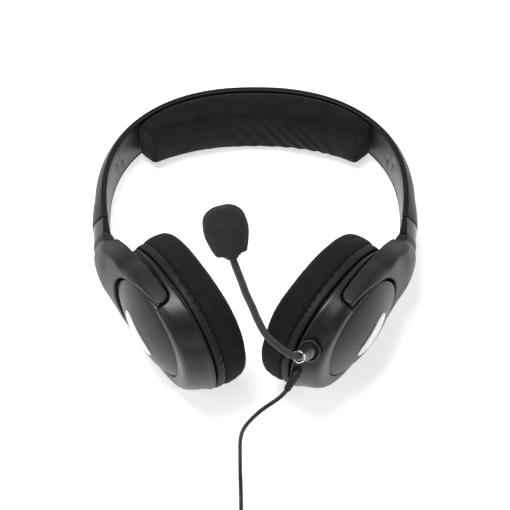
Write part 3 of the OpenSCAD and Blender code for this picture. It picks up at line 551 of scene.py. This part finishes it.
neck_rows = [[-side_x(4.8) + 0.1, 4.5, 0, HW - 0.1, 4.9, 11.5, 0.3], [-side_x(0) + 1.2, 0, 6, HW + 0.6, 6.5, 13, 0.8], yk(-51, 4.6) + [16, 20, 9.5, 15, 1.5], yk(-46, 4.6) + [27, 24, 12, 16, 2],
             yk(-40, 4.6) + [YOKE_TILT, 28, 11.6, 15, 1.6], yk(-33, 4.6) + [YOKE_TILT, 31, 11.7, 14.6, 2.2], yk(-27, 4.6) + [YOKE_TILT, 33, 11.6, 14, 5],
             yk(-20, 4.6) + [YOKE_TILT, 35.7, 11.6, 13, 5], yk(-13, 4.6) + [YOKE_TILT, 37.7, 11.6, 12, 5]]
NYS = np.array([-1, -0.995, -0.985, -0.97, -0.955, -0.93, -0.91, -0.88, -0.85, -0.78, -0.7, -0.58, -0.45, -0.3, -0.15, 0, 0.15, 0.3, 0.45, 0.58, 0.7, 0.78, 0.85, 0.88, 0.91, 0.93, 0.955, 0.97, 0.985, 0.995, 1])[::-1]


def edge_drop(y, w, rr):
    q = max(0.0, (abs(y) - w + rr) / rr)
    return rr * (1 - math.sqrt(max(0.0, 1 - q * q)))


def mirror_if(side, p):
    p = np.array(p, float)
    if side > 0:
        p[:, 0] *= -1
    return p


for side in (-1, 1):
    secs = []
    for px, pz, a, w, e, c, er in catmull(neck_rows, 6):
        a = math.radians(a)
        s = [px, pz, -math.cos(a), -math.sin(a), c, e]
        pts = [at(s, -w, 0), at(s, w, 0)] + [at(s, u * w, e + (c - e) * (1 - abs(u) ** 2.4) - edge_drop(u * w, w, er)) for u in NYS]
        secs.append(place(mirror_if(side, pts)))
    v, f = sweep(secs)
    y = new_obj("yoke_body_" + NAME[side], v, f)
    v, f = loft([ear(side, YOKE_TILT, np.c_[oval_poly(CUP_B - 0.4 - g, CUP_A - 0.2 - g, 180), np.full(180, z)]) for z, g in
                 catmull([[4.6, 0.5], [5.1, 0], [11.2, 0], [12.6, 0.2], [13.8, 0.73], [14.8, 1.53], [15.6, 2.63], [16.2, 5]], 3)])
    arms = new_obj("arms", v, f)
    th = np.linspace(0, 2 * math.pi, 49)[:-1]
    keep = slab(side, YOKE_TILT, [[-50, 4.6], [PIV_D, 4.6]] + [[PIV_D + 5.4 * math.cos(q), PIV_O + 5.4 * math.sin(q)] for q in np.linspace(-math.pi / 2, 0, 13)[1:]] + [[PIV_D + 5.4, 12.6], [-16, 16.2], [-50, 16.2]], -46, 46, "keep")
    boolean(arms, keep, "INTERSECT")
    boolean(y, arms, "UNION")
    boolean(y, prism(side, YOKE_TILT, oval_poly(IN_D, IN_F), -8, 60))
    soften(y, 0.5, 6, 0.3)
    finish_piece(y, "arm_" + NAME[side], M["yoke"], ["yoke_" + NAME[side]])

# ------------------------------------------------------------------ ear cups
SOC_P, SOC_V = np.array([36.3, 24.5, 7.5]), np.array([0.675, 0.73, 0.09]) / np.linalg.norm([0.675, 0.73, 0.09])
REL_P, REL_V = np.array([43.5, 5, 4]), np.array([1, 0, 0.15]) / np.linalg.norm([1, 0, 0.15])
soc_o = ear(1, 37, [SOC_P])[0]
soc_v = ear(1, 37, [SOC_P + SOC_V])[0] - soc_o
rel_o = ear(1, 37, [REL_P])[0]
rel_v = ear(1, 37, [REL_P + REL_V])[0] - rel_o
SLICES = [[0, CUP_B - 0.4, CUP_A - 0.4, 0], [1.2, CUP_B, CUP_A, 0], [4, CUP_B - 1.2, CUP_A - 0.2, -1.1], [10, CUP_B - 3.0, CUP_A - 0.8, -2.5],
          [13.4, CUP_B - 5.4, CUP_A - 2.2, -2.8], [14.6, CUP_B - 9.4, CUP_A - 4.9, -1.6]]
CAP_B, CAP_A, CAP_BACK, CAP_C, CAP_T, CAP_SEAT = 29.2, 32.9, 31.0, -2.2, 0.5, 10.5


def cap_z(k):
    return 14.2 + 8.8 * np.maximum(0, 1 - np.abs(k) ** 1.9) ** 0.85


def cap_lift(x):
    return 2.5 * np.maximum(0, -x / CAP_B) ** 4


def cap_xy(k=1.0, g=0.0, n=160):
    x, y = oval(CAP_B * k - g, CAP_A * k - g, angles(n))
    yb = oval(CAP_B * k - g, CAP_BACK * k - g, angles(n))[1]
    return x, np.where(y > 0, y, yb)


def cap_ring(k, dz=0.0, g=0.0, n=160):
    x, y = cap_xy(k, g, n)
    return np.c_[x + CAP_C, y, cap_z(k) + dz - CAP_T * x / CAP_B + cap_lift(x)]


for side in (-1, 1):
    nm, t, body = NAME[side], TILT[side], "cup_" + NAME[side]
    rings = [ear(side, t, np.c_[oval_poly(b, a, 180) + [sh, 0], np.full(180, z)]) for z, b, a, sh in catmull(SLICES, 5)]
    v, f = loft(rings)
    c = new_obj("cup_housing_" + nm, v, f)
    cut = slab(side, t, [[-60, 0.6], [-35, 1.4], [PIV_D, PIV_O - 6.2]] + [[PIV_D + 6.2 * math.cos(q), PIV_O + 6.2 * math.sin(q)] for q in np.linspace(-math.pi / 2, 0.2, 14)[1:]] + [[PIV_D + 6.3, 12], [PIV_D + 6.3, 30], [-60, 30]], -60, 60)
    boolean(cut, prism(side, t, oval_poly(31.6, 34.6), -2, 45))
    boolean(c, cut)
    boolean(c, prism(side, t, oval_poly(CUP_B - 3.4, CUP_A - 3.2), -2, 4.5))
    boolean(c, prism(side, t, oval_poly(CAP_B - 2, CAP_BACK - 2) + [CAP_C, 0], -1, 30))
    boolean(c, prism(side, t, np.c_[cap_xy(1, -0.1, 72)] + [CAP_C, 0], CAP_SEAT, 32))
    if side > 0:
        v, f = revolve_along([(4.6, -9), (4.6, 11)], soc_o, soc_v)
        boolean(c, new_obj("cut", v, f))
        v, f = revolve_along([(1.9, -6), (1.9, 6)], rel_o, rel_v)
        boolean(c, new_obj("cut", v, f))
    soften(c, 0.5, 4, 0.3)
    finish_piece(c, body, M["shell"], ["cup_shell_" + nm])

    x, y = cap_xy()
    rings = [np.c_[x + CAP_C, y, np.full(160, CAP_SEAT + 0.05)]] + [cap_ring(k) for k in np.r_[1, 0.995, 0.985, np.linspace(0.97, 0.02, 34)]]
    v, f = loft([ear(side, t, r) for r in rings])
    c = new_obj("cup_dome_" + nm, v, f)
    x, y = cap_xy(1, 1.6, 96)
    inner = [np.c_[x + CAP_C, y, np.full(96, CAP_SEAT - 1)]]
    for k in np.linspace(1, 0.05, 14):
        q = cap_ring(k * 0.94, -2.0, n=96)
        q[:, 2] = np.maximum(cap_z(k) - 2 - CAP_T * (q[:, 0] - CAP_C) / CAP_B + cap_lift(q[:, 0] - CAP_C), CAP_SEAT + 0.15 + 0.05 * (1 - k))
        inner.append(q)
    v, f = loft([ear(side, t, r) for r in inner])
    boolean(c, new_obj("cut", v, f))
    c = bevel(c, 0.3, 2, 50)
    finish_piece(c, body, M["cap"], ["cup_cap_" + nm], 45)

    def badge_ring(k, dz):
        bx, by = oval(14 * k, 5.5 * k, angles(96), 2.4)
        px, py = -2.5 + 0.85 * bx + 0.53 * by, 1.5 - 0.53 * bx + 0.85 * by
        return np.c_[px, py, dz + cap_z(np.hypot((px - CAP_C) / CAP_B, py / np.where(py > 0, CAP_A, CAP_BACK))) - CAP_T * (px - CAP_C) / CAP_B + cap_lift(px - CAP_C)]
    rings = [badge_ring(k, 0.12) for k in (0.05, 0.5, 1.0)] + [badge_ring(k, z) for k, z in ((1.0, 0.5), (0.975, 0.66), (0.8, 0.7), (0.5, 0.7), (0.05, 0.7))]
    v, f = loft([ear(side, t, r) for r in rings])
    finish_piece(new_obj("inlay_" + nm, v, f), body, M["badge"], ["badge_" + nm], 40)

# ------------------------------------------------------------------ soft pieces
rng = np.random.default_rng(7)


def fourier(th, lo, hi, seed, power=0.0):
    r = np.random.default_rng(seed)
    out = np.zeros_like(th)
    for k in range(lo, hi + 1):
        out += r.normal() * np.cos(k * th + r.uniform(0, 6.28)) / (k ** power)
    return out / (np.abs(out).max() + 1e-9)


def simulate(ob, cap_mm, pressure=4.0, shrink=-0.03, frames=20, pin=None):
    """inflates a slightly slack cover over its filling, with every point's move capped"""
    base = np.zeros(len(ob.data.vertices) * 3)
    ob.data.vertices.foreach_get("co", base)
    base = base.reshape(-1, 3)
    if pin is not None:
        g = ob.vertex_groups.new(name="pin")
        for i in np.nonzero(pin)[0]:
            g.add([int(i)], 1.0, "REPLACE")
    m = ob.modifiers.new("cloth", "CLOTH")
    s = m.settings
    s.quality, s.mass = 6, 0.2
    s.use_pressure, s.uniform_pressure_force = True, pressure
    s.effector_weights.gravity = 0
    s.tension_stiffness = s.compression_stiffness = 15
    s.shear_stiffness, s.bending_stiffness = 5, 0.3
    s.shrink_min = shrink
    if pin is not None:
        s.vertex_group_mass = "pin"
    m.collision_settings.use_collision = False
    scene.frame_start, scene.frame_end = 1, frames
    m.point_cache.frame_start, m.point_cache.frame_end = 1, frames
    for fr in range(1, frames + 1):
        scene.frame_set(fr)
    dg = bpy.context.evaluated_depsgraph_get()
    me = ob.evaluated_get(dg).to_mesh()
    now = np.zeros(len(me.vertices) * 3)
    me.vertices.foreach_get("co", now)
    ob.evaluated_get(dg).to_mesh_clear()
    now = now.reshape(-1, 3)
    ob.modifiers.clear()
    ob.vertex_groups.clear()
    scene.frame_set(1)
    d = now - base
    d[~np.isfinite(d).all(1)] = 0
    L = np.linalg.norm(d, axis=1)
    lim = cap_mm * MM
    d *= (lim * np.tanh(L / lim) / np.maximum(L, 1e-9))[:, None]
    ob.data.vertices.foreach_set("co", (base + d).ravel())
    ob.data.update()


def subdivide(ob, levels=1):
    m = ob.modifiers.new("s", "SUBSURF")
    m.levels = m.render_levels = levels
    return apply_mods(ob)


# ear cushions: a closed loop of foam under a velour cover
PROFILE = [[1.4, -6.1], [0.35, -8], [0.1, -11], [0.3, -14.5], [1.2, -18.4], [3.4, -20.9], [6.4, -22.2], [9, -22.5], [12, -21.9], [14.6, -19.9], [16, -16.5], [16.3, -12], [15.4, -8], [13, -6.2], [8, -6.1]]
for side in (-1, 1):
    nm, t, body = NAME[side], TILT[side], "cup_" + NAME[side]
    prof = catmull(PROFILE, 2, closed=True)
    n = 144
    th = angles(n)
    loops = []
    for ins, z in prof:
        face = np.clip((-z - 6.5) / 8, 0, 1)
        x, y = oval(46.0 - ins - 0.25, 40.2 - ins - 0.25, th)
        slack = fourier(th, 3, 9, 11 + side) * 0.35 * face
        ux, uy = np.cos(th), np.sin(th)
        sgn_in = 1 - 2 * (ins > 8)
        x, y = x + ux * slack * sgn_in, y + uy * slack * sgn_in
        zz = z + fourier(th, 2, 7, 23 + side) * 0.35 * face
        loops.append(ear(side, t, np.c_[x, y, zz]))
    v, f = loft(loops, caps=False, closed_long=True)
    c = new_obj("ear_cushion_cover_" + nm, v, f)
    pin = np.tile((prof[:, 1] > -7.2)[:, None], (1, n)).ravel()
    order = len(c.data.vertices) == len(v)
    simulate(c, 0.9, 3.0, -0.035, 18, pin if order else None)
    subdivide(c, 2)
    # gathers at the lower end of the cup, and at the sewn edge
    co = np.zeros(len(c.data.vertices) * 3)
    c.data.vertices.foreach_get("co", co)
    no = np.zeros(len(c.data.vertices) * 3)
    c.data.vertices.foreach_get("normal", no)
    co, no = co.reshape(-1, 3), no.reshape(-1, 3)
    dx, dy, oz, o = ear_axes(t)
    w = co / MM
    # back to the cup's frame
    Y = -(w[:, 1] - LIE_Y) * SL - (w[:, 2] - LIE_H) * CL
    Z = (w[:, 1] - LIE_Y) * CL - (w[:, 2] - LIE_H) * SL
    X = w[:, 0] * (-1 if side > 0 else 1)
    loc = np.c_[X, Y, Z] - o
    ex, ey, ez = loc @ dx, loc @ dy, loc @ oz
    ang = np.arctan2(ey / CUP_A, ex / CUP_B)
    outer = np.clip((np.hypot(ex / (CUP_B - 8), ey / (CUP_A - 8)) - 0.98) * 6, 0, 1)
    bottom = np.exp(-(ang / 0.75) ** 2) + 0.35 * np.exp(-((np.abs(ang) - math.pi) / 0.6) ** 2)
    near_seam = np.exp(-((ez + 8.2) / 2.6) ** 2)
    folds = 0.10 * bottom * outer * np.sin(ez * 1.7 + 2.2 * np.sin(ang * 5 + side) + ang * 3) * np.clip((-ez - 7) / 3, 0, 1)
    gather = 0.09 * near_seam * outer * (0.35 + 0.65 * np.abs(np.sin(ang * 3.5 + side))) * (np.abs(np.sin(ang * 46 + 5 * np.sin(ang * 7 + side) + 3 * np.sin(ang * 13))) - 0.6)
    co += no * ((folds + gather) * MM)[:, None]
    c.data.vertices.foreach_set("co", co.ravel())
    c.data.update()
    finish_piece(c, body, M["velour"], ["ear_cushion_" + nm])

    # mounting ring and leatherette skirt, pleated where it meets the velour
    n = 540
    th = angles(n)
    pleat = np.clip(fourier(th, 40, 90, 5 + side), -1, 1)
    pleat = -np.clip(pleat * 2.4, 0, 1) ** 1.2
    zone = 0.35 + 0.65 * np.clip(np.cos(th * 1.0) * 0.6 + 0.55 + 0.4 * fourier(th, 2, 5, 50 + side), 0, 1)
    loops = []
    sk = [[0.9, -1.25, 0], [0.45, -1.5, 0], [0.2, -2.3, 0], [0.05, -3.2, 0.1], [0.05, -4.2, 0.35], [0.15, -5.0, 0.75], [0.4, -5.7, 1], [0.9, -6.1, 0.9], [1.8, -6.15, 0.2], [12.3, -5.95, 0], [12.5, -5.4, 0], [12.5, -1.6, 0], [12.2, -1.25, 0]]
    for ins, z, wgt in sk:
        x, y = oval(45.4 - ins, 40.0 - ins, th)
        ux, uy = np.cos(th), np.sin(th)
        d = 0.95 * pleat * wgt * zone
        loops.append(ear(side, t, np.c_[x + ux * d, y + uy * d, z - 0.35 * pleat * wgt * zone * (z < -4.5)]))
    v, f = loft(loops, caps=False, closed_long=True)
    finish_piece(new_obj("cushion_skirt_" + nm, v, f), body, M["skirt"], ["ear_pad_ring_" + nm], 60)

    # speaker cloth: one stretched sheet
    pts, faces = [], []
    rr = np.linspace(0, 1, 26)[1:]
    m = 96
    pts.append([0, 0, -2.5])
    for r in rr:
        x, y = oval(32.3 * r, 26.9 * r, angles(m))
        pts += np.c_[x, y, np.full(m, -2.85 + 0.18 * (1 - r ** 4))].tolist()
    for i in range(m):
        faces.append((0, 1 + i, 1 + (i + 1) % m))
    for j in range(len(rr) - 1):
        for i in range(m):
            a, b = 1 + j * m, 1 + (j + 1) * m
            faces.append((a + i, b + i, b + (i + 1) % m, a + (i + 1) % m))
    pts[0][2] = -2.85 + 0.18
    cl = new_obj("speaker_cloth_sheet_" + nm, ear(side, t, pts), faces)
    finish_piece(cl, body, M["cloth"], ["speaker_cloth_" + nm])

# head pad
PAD_HALF, PAD_T, PAD_W = 52.0, 20.2, 34.0
NU, prof_v = 64, None


def pad_section(u, extra=0.0):
    s = arc(90 + u * PAD_HALF)
    # the ends turn in over the last few millimetres
    q = max(0.0, (abs(u) - 0.955) / 0.045)
    turn = 1 - math.sqrt(max(0.0, 1 - q * q))
    d = -PAD_T * (1 - 0.43 * abs(u) ** 2.2) + 0.2 + 1.3 * turn
    w = PAD_W / 2 * (1 - 0.07 * abs(u) ** 8) - 0.15 - 1.6 * turn
    k = [(-0.90, -0.4), (-0.3, -0.4), (0.3, -0.4), (0.90, -0.4), (0.99, 0.22), (1.0, 0.5), (1.0, 0.78), (0.985, 0.91), (0.93, 0.975), (0.75, 0.995), (0.4, 1.0), (0.13, 1.0), (-0.13, 1.0), (-0.4, 1.0), (-0.75, 0.995), (-0.93, 0.975), (-0.985, 0.91), (-1.0, 0.78), (-1.0, 0.5), (-0.99, 0.22)]
    return [at(s, a * w, (b * d if b > 0 else b)) for a, b in k]


us = np.linspace(-1, 1, NU + 1)
us = np.sort(np.r_[us, -0.995, -0.985, -0.962, 0.962, 0.985, 0.995])
secs = [place(pad_section(u)) for u in us]
v, f = sweep(secs)
pad = new_obj("head_pad_cover", v, f)
pinp = None
if len(pad.data.vertices) == len(v):
    ns = len(secs[0])
    pinp = np.tile(np.array([1, 1, 1, 1] + [0] * (ns - 4), bool), len(secs))
bmesh_tmp = bmesh.new()
bmesh_tmp.from_mesh(pad.data)
big = [fc for fc in bmesh_tmp.faces if len(fc.verts) > 4]
bmesh.ops.inset_region(bmesh_tmp, faces=big, thickness=0.0014, depth=0.0)
bmesh.ops.triangulate(bmesh_tmp, faces=[fc for fc in bmesh_tmp.faces if len(fc.verts) > 4])
bmesh_tmp.to_mesh(pad.data)
bmesh_tmp.free()
if pinp is not None:
    pinp = np.r_[pinp, np.zeros(len(pad.data.vertices) - len(pinp), bool)]
simulate(pad, 0.9, 3.5, -0.015, 18, pinp)
subdivide(pad, 2)
co = np.zeros(len(pad.data.vertices) * 3)
no = np.zeros(len(pad.data.vertices) * 3)
pad.data.vertices.foreach_get("co", co)
pad.data.vertices.foreach_get("normal", no)
co, no = co.reshape(-1, 3), no.reshape(-1, 3)
w = co / MM
Y = -(w[:, 1] - LIE_Y) * SL - (w[:, 2] - LIE_H) * CL
Z = (w[:, 1] - LIE_Y) * CL - (w[:, 2] - LIE_H) * SL
X = w[:, 0]
face_in = np.clip(-(no[:, 1] * CL - no[:, 2] * SL) * 1.6, 0, 1)
disp = np.zeros(len(co))
for x0, slope, y0, y1, amp, wd in ((-18, 0.42, -4, 17, 0.55, 1.7), (-10, 0.5, -8, 17, 0.6, 1.6), (-2, 0.62, -10, 17, 0.75, 1.5), (6, 0.66, -11, 17, 0.85, 1.6), (13.5, 0.7, -10, 17, 0.95, 1.5), (21, 0.72, -8, 17, 1.0, 1.6),
                                    (27.5, 0.7, -6, 17, 0.9, 1.4), (-30, 0.2, 0, 17, 0.4, 2.0), (36, 0.5, -2, 16, 0.5, 2.0), (-44, -0.3, -10, 10, 0.35, 2.4), (-56, -0.5, -8, 8, 0.4, 2.0), (50, 0.3, -8, 10, 0.35, 2.4)):
    u = X - (x0 + slope * (Y + 4))
    win = 1 / (1 + np.exp(-(Y - y0) / 1.6)) * 1 / (1 + np.exp((Y - y1) / 1.4))
    disp += amp * win * (np.exp(-(u / wd) ** 2) - 0.75 * np.exp(-((u - 1.9 * wd) / (1.2 * wd)) ** 2))
disp = disp * face_in * 0.42
co += no * (disp * MM)[:, None]
pad.data.vertices.foreach_set("co", co.ravel())
pad.data.update()
finish_piece(pad, "headband", M["pad"], ["headband_pad"])

# ------------------------------------------------------------------ microphone
v, f = revolve_along([(0.01, -6.5), (0.9, -6.3), (1.7, -5.0), (1.2, -4.2), (1.74, -3.4), (1.74, 2.9), (0.01, 2.95)], soc_o, soc_v, 40)
finish_piece(new_obj("mic_jack_pin", v, f), "mic_plug", M["contact"], ["mic_plug_pin"], 35)

v, f = revolve_along([(1.85, -7.9), (4.5, -8), (4.5, 1.2), (5.6, 1.2), (6.0, 1.5), (6.05, 2.2), (5.75, 2.65), (5.2, 2.8), (4.9, 2.6), (4.6, 2.3), (4.4, 1.9), (1.85, 1.8)], soc_o, soc_v, 72)
sock = new_obj("mic_socket_bush", v, f)
finish_piece(sock, "cup_right", M["mic"], ["mic_socket"], 35)

# barrel and bright hexagonal nut
prof = [(0.01, 3.05), (3.5, 3.05), (3.95, 3.4), (4.1, 4.1), (4.1, 6.0), (3.92, 6.2), (3.92, 6.6), (4.1, 6.8), (4.1, 11.6), (3.8, 12.6), (3.55, 13.4), (3.4, 14.6), (3.35, 17.0), (3.15, 18.9), (0.01, 19.0)]
v, f = revolve_along(prof, soc_o, soc_v, 64)
fer = new_obj("mic_ferrule_barrel", v, f)
finish_piece(fer, "mic_arm", M["mic"], ["mic_ferrule"], 30)
prof = [(2.4, 18.8), (3.1, 18.85), (3.4, 19.1), (3.5, 19.5), (3.5, 20.3), (3.3, 20.7), (3.0, 20.9), (2.7, 20.7), (2.2, 19.6)]
ax = Vector(soc_v).normalized()
u_ = ax.orthogonal().normalized()
w_ = ax.cross(u_)
rings = []
for r, h in prof:
    ring = []
    for q in np.arange(72) / 72 * 2 * math.pi:
        hexr = 1 / math.cos(((q + math.pi / 6) % (math.pi / 3)) - math.pi / 6)
        rr_ = r * (0.93 + 0.07 * min(1.08, 1 + (hexr - 1))) if 16.9 <= h <= 20.4 else r * 0.95
        rr_ = min(4.2, r * 0.94 * min(hexr, 1.075)) if 16.9 <= h <= 20.4 else r * 0.95
        ring.append(list(Vector(soc_o) + ax * h + (u_ * math.cos(q) + w_ * math.sin(q)) * rr_))
    rings.append(ring)
v, f = loft(rings)
nut = new_obj("mic_ferrule_nut", v, f)
finish_piece(nut, "mic_arm", M["chrome"], (), 24)

mic_a = [[22, -40, -87.2], [17.5, -45.5, -88.2], [10, -54, -86.6], [5, -61, -84.4], [1, -70, -81]]
mic_b = [[1, -70, -81], [-1.5, -77, -78], [-4.4, -84, -75], [-6.6, -90.5, -71.8], [-9, -96.5, -68.2], [-11.2, -102, -64.4]]


def gooseneck(name, pts, body, node, ball=False):
    path, s = resample(place(catmull(pts, 8)), 0.16)
    r = 1.93 + 0.07 * np.sin(s / 0.95 * 2 * math.pi)
    v, f = tube(path, 1.95, 20, r)
    ob = new_obj(name, v, f)
    finish_piece(ob, body, M["boom"], [node])
    return ob


lowb = gooseneck("mic_gooseneck_lower", mic_a, "mic_arm", "mic_boom_lower")
upb = gooseneck("mic_gooseneck_upper", mic_b, "mic_head", "mic_boom_upper")

HEAD_P, HEAD_V = np.array([-11.2, -102, -64.4]), np.array([-0.22, -0.64, 0.73]) / np.linalg.norm([-0.22, -0.64, 0.73])
head_o = place([HEAD_P])[0]
head_v = place([HEAD_P + HEAD_V])[0] - head_o
v, f = revolve_along([(0.01, -0.6), (2.3, -0.6), (2.6, -0.3), (3.2, 0.0), (3.3, 0.35), (3.1, 0.6), (4.5, 1.0), (4.85, 1.9), (4.9, 2.6), (4.7, 2.9), (4.9, 3.2), (4.9, 5.0), (0.01, 5.0)], head_o, head_v, 56)
finish_piece(new_obj("mic_head_cup", v, f), "mic_head", M["mic"], ["mic_head_collar"], 35)

# foam windscreen: a soft sleeve, cut square at its open end
R, FL = 11.5, 27.5
prof = [(5.1, 3.2), (5.3, 2.6), (7.6, 2.5), (8.2, 2.9), (8.7, 4.2), (9.8, 7), (10.9, 11), (11.35, 13.8), (11.4, 16.5), (11.0, 20.0), (9.8, 23.2), (7.4, 25.7), (4.3, 26.95), (0.4, 27.4)]
prof = [(5.05, 16.9), (5.05, 10.0)] + prof
pr = catmull(prof[2:], 4)
pr = np.concatenate([[prof[0], prof[1]], pr])
v, f = revolve_along(pr, head_o, head_v, 96)
foam = new_obj("windscreen_foam_sleeve", v, f)
co = np.zeros(len(foam.data.vertices) * 3)
no = co.copy()
foam.data.vertices.foreach_get("co", co)
foam.data.vertices.foreach_get("normal", no)
co, no = co.reshape(-1, 3), no.reshape(-1, 3)
w = co / MM
lump = 0.08 * np.sin(w[:, 0] * 0.7 + 1) * np.sin(w[:, 1] * 0.6) + 0.05 * np.sin(w[:, 2] * 0.9 + w[:, 0] * 0.5)
cells = 0.025 * np.sin(w[:, 0] * 5.1 + 1.3 * np.sin(w[:, 1] * 3.7)) * np.sin(w[:, 1] * 4.7 + 1.1 * np.sin(w[:, 2] * 4.1)) * np.sin(w[:, 2] * 5.3)
co += no * ((lump + cells) * MM)[:, None]
foam.data.vertices.foreach_set("co", co.ravel())
foam.data.update()
finish_piece(foam, "mic_head", M["foam"], ["mic_windscreen"])

# strain relief with moulded rings
prof = [(1.8, -3.1), (1.85, 0.6), (2.95, 0.65), (3.05, 1.0), (3.0, 2.0), (2.75, 2.4)]
h = 2.7
for i in range(6):
    r = 2.6 - 0.13 * i
    prof += [(r - 0.28, h), (r - 0.28, h + 0.4), (r, h + 0.6), (r - 0.03, h + 1.15)]
    h += 1.45
prof += [(1.6, h + 0.1), (1.45, 12.0), (1.2, 12.0)]
v, f = revolve_along(prof, rel_o, rel_v, 48)
relief = new_obj("cable_relief_boot", v, f)
finish_piece(relief, "cup_right", M["cable"], ["cable_strain_relief"], 35)

# ------------------------------------------------------------------ carried-over CAD nodes
CARRY = {"steel": ["slider_left", "slider_right", "pivot_pins_left", "pivot_pins_right", "headband_spring"],
         "screw": ["headband_screws", "yoke_screws_left", "yoke_screws_right", "baffle_screws_left", "baffle_screws_right"],
         "inner": ["yoke_cover_left", "yoke_cover_right", "baffle_left", "baffle_right"], "cable": ["crossover_wire", "cable_tie"],
         "driver": ["driver_frame_left", "driver_frame_right", "mic_capsule"], "magnet": ["driver_magnet_left", "driver_magnet_right"], "cone": ["driver_cone_left", "driver_cone_right"],
         "board": ["remote_board"], "remote": ["remote_body", "remote_cover", "volume_wheel", "mute_switch"], "contact": ["audio_plug"]}
for key, names in CARRY.items():
    for nme in names:
        ob = NODES[nme]
        if not ob.data.materials:
            ob.data.materials.append(M[key])
        for i in range(len(ob.data.materials)):
            ob.data.materials[i] = M[key]

# the plug's moulded grip is black, and only its pin is plated
plug = NODES["audio_plug"]
plug.data.materials.append(M["cable"])
for p in plug.data.polygons:
    p.material_index = len(plug.data.materials) - 1 if (plug.matrix_world @ p.center).y > -0.2362 else 0

print("cable length", cable_len)
